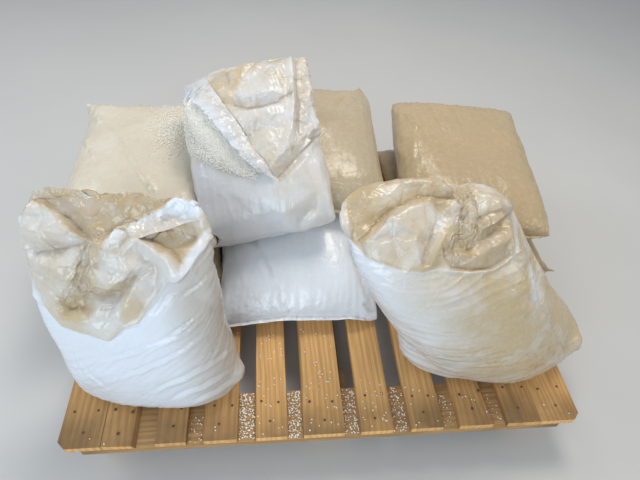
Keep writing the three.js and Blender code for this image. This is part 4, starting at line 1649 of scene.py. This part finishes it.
# %% Shape the tied sack
TIED_SACK = "sack_front_right_tied"
TIED_EDGE = [(338, 240), (348, 246), (366, 256), (387, 266), (404, 271), (423, 273), (437, 269),
             (451, 272), (472, 273), (492, 269), (508, 258)]
TIED_UNSEEN = [(20, 0.43), (60, 0.42), (110, 0.42), (150, 0.42)]
TWIST = (464, 222)
TIED_FACETS = [
    ([(326, 180), (470, 168), (540, 190), (590, 300), (590, 400), (420, 400), (326, 230),
      (326, 180)], 0),
    ([(337, 244), (348, 250), (366, 260), (387, 270), (404, 275), (423, 277), (437, 273),
      (451, 275), (472, 277), (494, 273), (511, 260)], 0),
    ([(346, 191), (372, 188), (400, 187), (424, 185), (442, 189)], [3, 6, 7, 6, 2]),
    ([(456, 197), (438, 196), (418, 193), (399, 203), (379, 218), (358, 240)],
     [-8, -10, -11, -12, -11, -5]),
    ([(348, 204), (368, 201), (390, 196)], [3, 4, 2]),
    ([(342, 210), (345, 226), (344, 238)], [6, 7, 4]),
    ([(350, 210), (354, 224), (350, 240)], [-4, -6, -4]),
    ([(449, 201), (428, 205), (410, 212), (392, 222), (371, 242)], [2, 6, 8, 8, 4]),
    ([(430, 199), (440, 206), (452, 212)], [4, -5, -4]),
    ([(408, 216), (412, 234), (418, 254), (422, 268)], [5, 4, 4, 3]),
    ([(388, 236), (398, 256)], [-3, -3]),
    ([(436, 222), (430, 244), (424, 264)], [-5, -8, -5]),
    ([(455, 214), (446, 230), (436, 248), (430, 266)], [4, 6, 7, 4]),
    ([(456, 198), (459, 212), (455, 232), (444, 247)], [2, 3, 4, 3]),
    ([(463, 194), (464, 210), (462, 230), (452, 252)], [-4, -5, -5, -4]),
    ([(470, 194), (470, 212), (469, 232), (462, 256)], [2, 4, 5, 3]),
    ([(475, 200), (478, 216), (477, 232), (470, 250)], [-3, -5, -6, -4]),
    ([(444, 250), (447, 260), (453, 267), (472, 269), (492, 267), (507, 256)],
     [-2, -5, -8, -8, -9, -6]),
    ([(441, 244), (442, 259), (450, 271), (472, 273), (493, 270), (510, 257)], 4),
    ([(464, 254), (474, 258), (484, 263)], [3, 7, 2]),
    ([(468, 250), (482, 240), (497, 227), (510, 214)], [-6, -9, -9, -5]),
    ([(486, 250), (498, 244), (509, 238)], [4, 6, 4]),
    ([(479, 231), (490, 224), (500, 216)], [5, 6, 5]),
    ([(480, 208), (490, 200), (500, 203), (508, 210)], [3, 7, 7, 5]),
    ([(482, 216), (492, 213), (502, 211)], [-7, -6, -4]),
    ([(528, 262), (532, 284), (536, 304)], [4, 5, 3]),
    ([(534, 262), (539, 284), (541, 304)], [-6, -8, -5]),
]
TWIST_REACH = 75 * MM
TWIST_TURN = 2.2  # radians over that reach
TIED_CORNER, TIED_CORNER_RISE = (573, 341), 26 * MM
TIED_STAINS = [
    ([(334, 196), (348, 186), (400, 178), (440, 180), (470, 184), (508, 196), (516, 215),
      (512, 260), (492, 272), (451, 275), (437, 271), (420, 275), (404, 273), (366, 258),
      (334, 242)], 1.1),
    ([(400, 205), (428, 203), (452, 212), (440, 236), (425, 262), (404, 270), (372, 256),
      (362, 246), (382, 222)], 0.7),
    ([(425, 208), (450, 212), (440, 228), (428, 222)], 0.5),
    ([(336, 200), (346, 204), (350, 238), (338, 240)], 0.5),
    ([(376, 192), (410, 187), (400, 198), (380, 212), (366, 212)], 0.8),
    ([(450, 194), (470, 186), (490, 204), (484, 236), (470, 264), (454, 268), (442, 250),
      (456, 226)], 1.0),
    ([(488, 196), (510, 206), (512, 258), (480, 268), (470, 264), (484, 236)], 1.3),
]
BROWN_FILM = [(443, 190), (473, 191), (479, 206), (488, 216), (486, 228), (473, 248), (469, 268),
              (452, 268), (441, 250), (454, 226), (455, 204)]
BROWN_LEFT = ([188, 200, 215, 230, 248, 268], [443, 455, 456, 452, 441, 450])
BROWN_RIGHT = ([188, 205, 216, 228, 248, 268], [473, 478, 488, 486, 473, 469])
# A painted highlight: a pale lens where a flat facet reflects a lamp.
PAINTED_HIGHLIGHT_LENS = [(526, 262), (534, 265), (543, 280), (544, 294), (538, 306), (530, 299), (526, 280)]
LOW_DIRT = [(524, 352), (548, 340), (566, 346), (556, 360), (530, 370)]


def twist_relief(points, height, centre):
    """Crumpled film round the twist, with faint spokes that turn as they run to it."""
    out = points[:, :2] - centre[:2]
    spread = np.hypot(out[:, 0], out[:, 1])
    spoke = np.arctan2(out[:, 1], out[:, 0]) + TWIST_TURN * spread / TWIST_REACH
    near = np.exp(-(spread / TWIST_REACH) ** 2) * (height > 0.3)
    circle = np.stack([np.cos(spoke) * 2.3, np.sin(spoke) * 2.3, spread / (160 * MM)], axis=1)
    spokes = (1 - np.abs(gradient_noise(circle, 54))) ** 3
    crumple = facets(points / (12 * MM), 62, 25)
    return near * (2 * MM * (spokes - 0.5) + 7 * MM * facets(points / (28 * MM), 55, 25)
                   + 2 * MM * crumple)


def brown_pleats(points, seen):
    """Narrow pleats down the brown film of the twist, from 0 to 1."""
    left, right = np.interp(seen[:, 1], *BROWN_LEFT), np.interp(seen[:, 1], *BROWN_RIGHT)
    side = (seen[:, 0] - left) / (right - left)
    return ripples(side + 0.35 * lumps(points, 34 * MM, 64), seen[:, 1], 0.26, 26, 65)


def shape_tied_sack():
    """Crushed top, brown twist, body wrinkles, stains, painted shade in the folds and a painted
    highlight of the tied sack.
    """
    skin = standing_skin(TIED_SACK, (0.26, 0.38), 0.03, TIED_STAINS)
    tree = tree_of(skin)
    points = vertices_of(skin)
    facing = facing_camera(skin)
    angle, around, height = tube_address(points, TIED_SACK)
    above = height - edge_height(angle, TIED_SACK, tree, TIED_EDGE, TIED_UNSEEN)
    top = ramp(above, -3 * MM, 3 * MM)
    crushed = ramp(above, 4 * MM, 45 * MM)
    lift = 5 * MM * lumps(points, 150 * MM, 51) + 1.5 * MM * top
    lift += crushed * ((1 - facing) * 10 * MM * facets(points / (70 * MM), 52)
                       + 4.5 * MM * facets(points / (40 * MM), 53, 25))
    lift += twist_relief(points, height, np.array(on_skin(tree, [TWIST])[0]))
    seen = to_pixels(points)
    lift += TIED_CORNER_RISE * near_spot(points, tree, TIED_CORNER, 28 * MM)
    brown = painted(seen, [(BROWN_FILM, 1.0)], 2.5) * facing
    pleats = brown_pleats(points, seen)
    lift += brown * 6 * MM * (pleats - 0.5)
    sideways = height - 0.10 * around
    busy = (1 - top) * ramp(gradient_noise(points / (150 * MM), 56), -0.5, 0.3)
    left = ramp(-points[:, 0], -0.46, -0.30)
    low = ramp(-height, -0.13, -0.04)
    curl = sideways + 16 * MM * lumps(points, 190 * MM, 57)
    lift += (0.35 + 0.65 * np.maximum(left, low)) * busy * 4.0 * MM * ripples(
        curl, around, 15 * MM, 190 * MM, 58)
    lift += (1 - top) * 1.0 * MM * ripples(curl, around, 8 * MM, 110 * MM, 59)
    wander = wandering_pixels(points)
    drawn = drawn_relief(skin, wander, TIED_FACETS, 1.5)
    raise_skin(skin, TIED_SACK, lift + drawn)
    cream_side = ramp(seen[:, 0] - 0.15 * (seen[:, 1] - 300), 342, 505)
    # The painted highlight takes most of the cream stain out of the lens.
    cream_side *= 1 - 0.6 * facing * painted(seen, [(PAINTED_HIGHLIGHT_LENS, 1.0)], 3.0)
    blotches = 1 + 0.25 * lumps(points, 50 * MM, 60)
    tan = top * (facing * painted(wander, TIED_STAINS) + (1 - facing) * 0.6) * blotches
    tan = np.maximum(tan, cream_side * (1 - top) + 0.3 * cream_side * top)
    # Dirt with painted shade: darker in the valleys of the brown pleats, along the drawn furrows and
    # where folds press in.
    dirt = brown * (0.06 + 0.24 * ramp(-pleats, -0.55, -0.1))
    dirt = np.maximum(dirt, 0.9 * facing * top * furrow_dirt_and_shade(wander, TIED_FACETS, 1.7))
    dirt = np.maximum(dirt, 0.2 * crease_mask(drawn) * top)
    soil = painted(seen, [(LOW_DIRT, 1.0)], 4) * facing * ramp(lumps(points, 14 * MM, 63), -0.2, 0.5)
    dirt = np.maximum(dirt, 0.07 * cream_side * (1 - top))
    dirt = np.maximum(dirt, 0.30 * facing * top * ramp(tan, 0.9, 1.25))
    mark(skin, tan, np.maximum(dirt, 0.5 * soil), 0.06 + 0.16 * crushed + 0.45 * brown)
    return skin


skin = shape_tied_sack()
finish_sack(skin, TIED_SACK, white_film)
print("tied sack", len(skin.data.polygons), "faces")

# %% [markdown]
# ## The torn sack on top
# It was thrown over the others and has split along a slanting tear. Its upper end is folded
# over in stained, half clear film with a glossy patch. A white strip with a ragged rim stands
# up along the tear, and the pellets heap out of it.

# %% Shape the torn sack
TORN_SACK = "sack_torn_top"
TORN_FACETS = [
    ([(196, 72), (262, 36), (340, 44), (344, 130), (350, 240), (300, 250), (200, 252), (180, 190),
      (160, 120), (196, 72)], 0),
    ([(207, 84), (219, 103), (238, 130), (250, 150), (266, 168), (280, 184)], 0),
    ([(234, 105), (247, 107), (259, 105), (276, 101), (291, 94)], [-6, -11, -11, -9, -4]),
    ([(230, 97), (242, 99), (258, 97), (274, 93), (289, 87)], [4, 8, 8, 6, 3]),
    ([(236, 112), (250, 114), (264, 111), (282, 106)], [2, 6, 7, 4]),
    ([(232, 76), (244, 70), (258, 68)], [6, 6, 4]),
    ([(244, 72), (250, 84), (256, 94)], [6, 2, 4]),
    ([(262, 70), (272, 82), (288, 91)], [2, 8, 5]),
    ([(222, 80), (230, 90), (236, 100)], [-4, -2, 2]),
    ([(212, 82), (226, 76), (244, 64), (262, 54)], [-3, -5, -5, -3]),
    ([(219, 93), (228, 96), (238, 84), (256, 66)], [4, 5, 4, 3]),
    ([(290, 58), (291, 80), (292, 104), (291, 128), (285, 152)], 7),
    ([(296, 56), (297, 80), (297, 104), (297, 128), (293, 150)], -5),
    ([(284, 60), (286, 80), (286, 104), (284, 128), (277, 152)], 0),
    ([(302, 54), (304, 71), (308, 90)], 8),
    ([(309, 54), (312, 71), (313, 88)], -2),
    ([(300, 97), (300, 116), (300, 134)], -8),
    ([(305, 97), (314, 93), (321, 100), (323, 116), (316, 130)], [6, 9, 9, 8, 6]),
    ([(308, 108), (310, 122), (306, 138)], -2),
    ([(314, 108), (316, 118), (312, 130)], [6, 8, 6]),
    ([(277, 177), (286, 167), (296, 157), (313, 140)], [-10, -13, -13, -9]),
    ([(270, 170), (282, 156), (299, 141), (309, 131)], [4, 8, 8, 6]),
    ([(284, 182), (296, 170), (312, 152), (320, 146)], [0, 3, 3, 0]),
    ([(242, 130), (256, 123), (270, 115), (284, 108)], [3, 6, 5, 3]),
    ([(244, 138), (256, 131), (268, 126)], [-4, -4, -1]),
    ([(252, 148), (266, 142), (276, 146)], [2, 3, 2]),
    ([(311, 142), (316, 163), (325, 189), (331, 205)], [3, 6, 6, 4]),
    ([(303, 146), (307, 166), (315, 190), (322, 208)], [-1, -2, -2, -3]),
    ([(238, 196), (262, 202), (286, 214), (300, 226)], [2, 3, 4, 5]),
    ([(226, 192), (248, 212), (280, 232)], [-1, 0, -1]),
    ([(300, 222), (308, 214), (318, 208)], [-3, -6, -5]),
    ([(294, 228), (302, 230), (312, 222)], [5, 6, 5]),
]
HEAP_OUTLINE = [(184, 100), (196, 106), (211, 122), (227, 142), (243, 159), (259, 172), (256, 179),
                (236, 175), (212, 166), (194, 156), (180, 148), (180, 120)]
TEAR_RIGHT = [(208, 81), (222, 101), (241, 127), (250, 144), (266, 162), (276, 181)]
TEAR_LEFT = [(187, 97), (201, 109), (215, 125), (230, 144), (244, 159), (259, 173)]
STAINED_UPPER = [(207, 78), (220, 104), (238, 130), (248, 148), (266, 166), (280, 182),
                 (296, 160), (312, 140), (334, 120), (330, 60), (300, 40), (240, 40)]
TORN_STAINS = [
    ([(150, 60), (350, 40), (350, 260), (150, 260)], 0.17),
    ([(290, 150), (312, 140), (346, 110), (350, 240), (306, 240), (284, 214), (272, 190)], 0.4),
    (STAINED_UPPER, 0.64),
    ([(207, 82), (236, 62), (276, 50), (280, 62), (246, 76), (236, 100), (222, 106)], 0.85),
    ([(235, 101), (244, 78), (264, 74), (274, 82), (291, 94), (258, 101)], 0.46),
    ([(238, 112), (260, 108), (288, 102), (288, 126), (276, 146), (258, 160), (246, 142)], 0.5),
    ([(286, 58), (296, 56), (298, 140), (284, 150)], 0.48),
    ([(300, 97), (321, 98), (326, 116), (314, 138), (300, 136)], 0.45),
    ([(176, 66), (207, 78), (207, 84), (200, 104), (262, 172), (256, 184), (234, 180), (208, 171),
      (190, 160), (174, 152)], 0.4),
]


def shape_torn_sack():
    """Folded end, tear, creases and stains of the torn sack."""
    skin = film_skin(TORN_SACK, FINE, 4)
    slack_top = ramp(polygon_depth(to_pixels(vertices_of(skin)), STAINED_UPPER), -4, 8)
    blow_up(skin, TORN_SACK, STAND_SLACK, slack_top, 0.035)
    finer(skin, (polygon_depth(to_pixels(vertices_of(skin)), STAINED_UPPER) > -8)
          & (facing_camera(skin) > 0))
    tree = tree_of(skin)
    points = vertices_of(skin)
    seen = to_pixels(points)
    upward = ramp(normals_of(skin) @ -np.array(forward), 0.0, 0.3)
    upper = ramp(polygon_depth(seen, STAINED_UPPER), -1.5, 1.5) * upward
    facing = facing_camera(skin)
    lift = 4 * MM * lumps(points, 130 * MM, 71) + 5 * MM * upper
    lift += (0.1 + 0.9 * upper) * 4 * MM * facets(points / (42 * MM), 73, 25)
    lift += (1 - facing) * 5 * MM * facets(points / (66 * MM), 72)
    _, long_way, cross = sack_directions(TORN_SACK)
    bent = points @ cross + 12 * MM * lumps(points, 160 * MM, 76)
    lift += 1.3 * MM * ripples(bent, points @ long_way, 15 * MM, 120 * MM, 74)
    wander = wandering_pixels(points)
    drawn = drawn_relief(skin, wander, TORN_FACETS, 1.45)
    drawn += facing * 5 * MM * ramp(polygon_depth(seen, HEAP_OUTLINE), -2, 6)
    raise_skin(skin, TORN_SACK, lift + drawn)
    blotches = 1 + 0.3 * lumps(points, 45 * MM, 75)
    tan = np.clip((facing * painted(wander, TORN_STAINS) + (1 - facing) * 0.3) * blotches, 0, 1)
    # Dirt with painted shade along the drawn furrows and where folds press in.
    dirt = np.maximum(0.7 * furrow_dirt_and_shade(wander, TORN_FACETS, 1.3), 0.2 * crease_mask(drawn))
    mark(skin, tan, facing * dirt, 0.08 + 0.16 * upper)
    return skin


def more_pixels(pixels, count):
    """The same line of pixels with evenly spread points."""
    return along_line([(x, y, 0) for x, y in pixels], count)[:, :2].tolist()


def in_front(pixel, layers):
    """The spot nearest the camera on a pixel's ray, a gap before any of the layers."""
    ray = pixel_ray(pixel)
    spots = [point - gap * ray for layer, gap in layers for point in on_skin(layer, [pixel])]
    return min(spots, key=lambda spot: (spot - EYE).length)


def torn_strips(tree):
    """The turned-up white strips on both sides of the tear."""
    up = Vector((0, 0, 1))
    heap = tree_of(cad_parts["pellet_heap_torn_sack"])
    foot = [in_front(pixel, [(tree, 4 * MM), (heap, 13 * MM)])
            for pixel in more_pixels(TEAR_RIGHT, 16)]
    rim = [in_front(pixel, [(tree, 10 * MM), (heap, 18 * MM)])
           for pixel in more_pixels(TEAR_LEFT, 16)]
    return [film_band("tear_strip", foot, rim, 80, 12, -8 * MM, 7 * MM, 81, 0.16, (0.3, 0.1)),
            film_band("tear_edge",
                      on_skin(tree, [(198, 92), (189, 96), (185, 106), (183, 118), (181, 129)]),
                      [point + 14 * MM * up for point in
                       on_skin(tree, [(194, 90), (187, 94), (184, 106), (183, 118), (181, 130)])],
                      34, 5, 3 * MM, 6 * MM, 82, 0.3)]


skin = shape_torn_sack()
join_film(skin, torn_strips(tree_of(skin)))
finish_sack(skin, TORN_SACK, white_film)
torn_skin = skin
print("torn sack", len(skin.data.polygons), "faces")

# %% [markdown]
# ## Pellets
# The pellets are lentils of plastic about 4 mm across. One is a small squashed icosphere.
# Thousands of copies, each turned and sized a little differently, are joined into one mesh for
# each place: the heap in the tear, the mouth of the open sack, the spill on the back left sack
# and the loose ones on the boards. Under the heaps lies the solid's own dome, so that no gap
# between pellets shows the inside.

# %% One pellet and its material
PELLET_SIZE = 4.4 * MM
PELLET_FLATTEN = 0.72
STEEPEST = 0.15  # of the normal's rise, for a pellet to stay where it lies
pellet_dice = np.random.default_rng(5)


def pellet_pattern():
    """One squashed icosphere."""
    deselect_all()
    bpy.ops.mesh.primitive_ico_sphere_add(subdivisions=1, radius=PELLET_SIZE / 2)
    pellet = bpy.context.object
    edit_all(pellet)
    bpy.ops.transform.resize(value=(1, 1, PELLET_FLATTEN))
    bpy.ops.object.mode_set(mode="OBJECT")
    return pellet


def pellet_material(name, light, dusty):
    """Plastic in two shades, with a little dust."""
    material, tree, shader = new_material(name)
    place = object_place(tree)
    each = noise(tree, place, 170, 1, 0.5)
    colour = blend_colour(tree, steps(tree, each, 0.35, 0.65), light, dusty)
    dust = use_group(tree, "yard_dust", {"Vector": place, "Amount": 0.06})
    colour = blend_colour(tree, dust.outputs["Mask"], colour, (0.50, 0.42, 0.30, 1))
    tree.links.new(colour, shader.inputs["Base Color"])
    tree.links.new(steps(tree, each, 0.3, 0.7, 0.28, 0.45), shader.inputs["Roughness"])
    bumped(tree, shader, each, 0.0006, 0.5)
    return material


pellet = pellet_pattern()
clean_pellets = pellet_material("clean_pellets", (0.95, 0.94, 0.89, 1), (0.92, 0.89, 0.80, 1))
# The pellets in the open sack's mouth are a darker copy of the clean ones: dust with painted shade.
dusty_pellets = pellet_material("dusty_pellets", (0.80, 0.73, 0.58, 1), (0.62, 0.52, 0.36, 1))


def random_turns(count):
    """Random rotation matrices from random unit quaternions."""
    quaternions = pellet_dice.normal(size=(count, 4))
    w, x, y, z = (quaternions / np.linalg.norm(quaternions, axis=1)[:, None]).T
    return np.stack([
        np.stack([1 - 2 * (y * y + z * z), 2 * (x * y - z * w), 2 * (x * z + y * w)], axis=1),
        np.stack([2 * (x * y + z * w), 1 - 2 * (x * x + z * z), 2 * (y * z - x * w)], axis=1),
        np.stack([2 * (x * z - y * w), 2 * (y * z + x * w), 1 - 2 * (x * x + y * y)], axis=1),
    ], axis=1)


def pellets_at(name, places):
    """One mesh with a turned and sized pellet at each place."""
    count = len(places)
    return copies_joined(name, pellet, places, random_turns(count),
                         pellet_dice.uniform(0.8, 1.15, count))


def scatter_on(tree, low, high, count):
    """Random points of a skin, found by rays straight down inside a box."""
    places = []
    for _ in range(count * 3):
        x = pellet_dice.uniform(low[0], high[0])
        y = pellet_dice.uniform(low[1], high[1])
        point, normal, _, _ = tree.ray_cast(Vector((x, y, high[2] + 0.02)), Vector((0, 0, -1)))
        if point is not None and normal.z > STEEPEST:
            places.append(tuple(point + normal * (0.2 * PELLET_SIZE)))
        if len(places) == count:
            break
    return np.array(places)


def finish_pellets(obj, material):
    """Gives pellets their material and smooth shading, and hangs them on the root."""
    obj.data.materials.clear()
    obj.data.materials.append(material)
    obj.data.shade_smooth()
    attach(obj, "root")


print("a pellet is", round(PELLET_SIZE / MM, 1), "mm wide")

# %% [markdown]
# A heap is a bumpy copy of its dome with pellets dropped on it. From the torn sack's heap more
# pellets slid over the film beside the tear.

# %% The two heaps
HEAPS = {"pellet_heap_torn_sack": (4300, clean_pellets),
         "pellet_heap_open_sack": (900, dusty_pellets)}
FAN_PELLETS = 2600


def fan_places(tree, count):
    """Pellets that slid from the heap in the tear and cover the film beside it."""
    low, high = np.min(HEAP_OUTLINE, axis=0), np.max(HEAP_OUTLINE, axis=0)
    places = []
    while len(places) < count:
        pixel = pellet_dice.uniform(low, high)
        edge = polygon_depth(pixel[None, :], HEAP_OUTLINE)[0]
        hits = on_skin(tree, [pixel])
        if hits and edge > pellet_dice.exponential(1.2) - 1.5:
            sunk = pellet_dice.uniform(0.1, 0.7) * PELLET_SIZE
            places.append(tuple(hits[0] + Vector((0, 0, sunk))))
    return np.array(places)


def pellet_heap(node, count, material):
    """A bumpy dome under its pellets; tells how many there are."""
    core = even_copy(node, node + "_core", 4 * MM)
    points = vertices_of(core)
    bumps = 3 * MM * lumps(points, 40 * MM, 91) + 1.2 * MM * lumps(points, 11 * MM, 92)
    move_vertices(core, points + (bumps - 1.5 * MM)[:, None] * normals_of(core))
    low, high = (np.array(corner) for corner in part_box(node))
    places = scatter_on(tree_of(core), low, high, count)
    if node == "pellet_heap_torn_sack":
        places = np.concatenate([places, fan_places(tree_of(torn_skin), FAN_PELLETS)])
    join_film(core, [pellets_at(node + "_grains", places)])
    finish_pellets(core, material)
    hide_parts(node)
    return len(places)


for node, (count, material) in HEAPS.items():
    print(node, pellet_heap(node, count, material), "pellets")

# %% [markdown]
# Loose pellets lie where they fell. Most of them sit in the gaps between the boards, on the
# stringer below, and a few are dotted over the boards. A ray straight up tells whether a sack
# covers the place, and only open places get pellets. More were spilled on the back left sack.

# %% Loose pellets on the pallet and on the back left sack
GAP_PELLETS = {3: 40, 4: 190, 5: 170, 6: 110, 7: 80, 8: 30, 9: 12}
BOARD_PELLETS = {1: 4, 2: 5, 3: 6, 4: 16, 5: 34, 6: 40, 7: 34, 8: 22, 9: 14, 10: 8, 11: 6}
FRONT_ZONE = 330 * MM
SPILL_CENTRE, SPILL_SPREAD = (171.571, 129.429), (9, 12)  # pixels
SPILL_PELLETS = 750
REST_HEIGHT = 0.36 * PELLET_SIZE


def covered(x, y):
    """True where a sack stands or lies above this place on the deck."""
    start = Vector((x, y, DECK_TOP + 1 * MM))
    return any(NODE_TREES[node].ray_cast(start, Vector((0, 0, 1)), 1.0)[0] for node in SACK_NODES)


def loose_places():
    """Open places in the gaps between the boards and on the boards."""
    places = []
    stringer_low, stringer_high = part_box("stringer_board_front")
    for number, count in GAP_PELLETS.items():
        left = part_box(f"deck_board_{number:02d}")[1].x
        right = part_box(f"deck_board_{number + 1:02d}")[0].x
        for _ in range(count):
            x = pellet_dice.uniform(left + 3 * MM, right - 3 * MM)
            y = stringer_low.y + (stringer_high.y - stringer_low.y) * pellet_dice.uniform(0.03, 0.97)
            if not covered(x, y):
                places.append((x, y, stringer_high.z + REST_HEIGHT))
    for number, count in BOARD_PELLETS.items():
        low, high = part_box(f"deck_board_{number:02d}")
        for _ in range(count):
            x = pellet_dice.uniform(low.x + 5 * MM, high.x - 5 * MM)
            y = low.y + FRONT_ZONE * pellet_dice.uniform(0.02, 1)
            if not covered(x, y):
                places.append((x, y, DECK_TOP + REST_HEIGHT))
    return places


def spill_places(tree):
    """Pellets thrown on the back left sack, thick in the middle of the spill."""
    places = []
    while len(places) < SPILL_PELLETS:
        hits = on_skin(tree, [pellet_dice.normal(SPILL_CENTRE, SPILL_SPREAD)])
        if hits:
            places.append(tuple(hits[0] + Vector((0, 0, 0.3 * PELLET_SIZE))))
    return places


loose = pellets_at("loose_pellets", np.array(
    loose_places() + spill_places(tree_of(bpy.data.objects["sack_back_left_film"]))))
finish_pellets(loose, clean_pellets)
bpy.data.objects.remove(pellet)
print("loose pellets:", len(loose.data.polygons) // 20)

# %% [markdown]
# ## The floor's finish and the end
# The floor is pale and smooth, with a faint cloud in it.

# %% Finish
FLOOR_COLOUR = (0.60, 0.60, 0.59, 1)
floor_material, tree, shader = new_material("pale_floor")
place = object_place(tree)
cloud = noise(tree, place, 1.4, 4, 0.6)
tree.links.new(blend_colour(tree, steps(tree, cloud, 0.3, 0.7, 0, 0.35), FLOOR_COLOUR,
                            (0.54, 0.54, 0.535, 1)), shader.inputs["Base Color"])
shader.inputs["Roughness"].default_value = 0.7
floor.data.materials.append(floor_material)
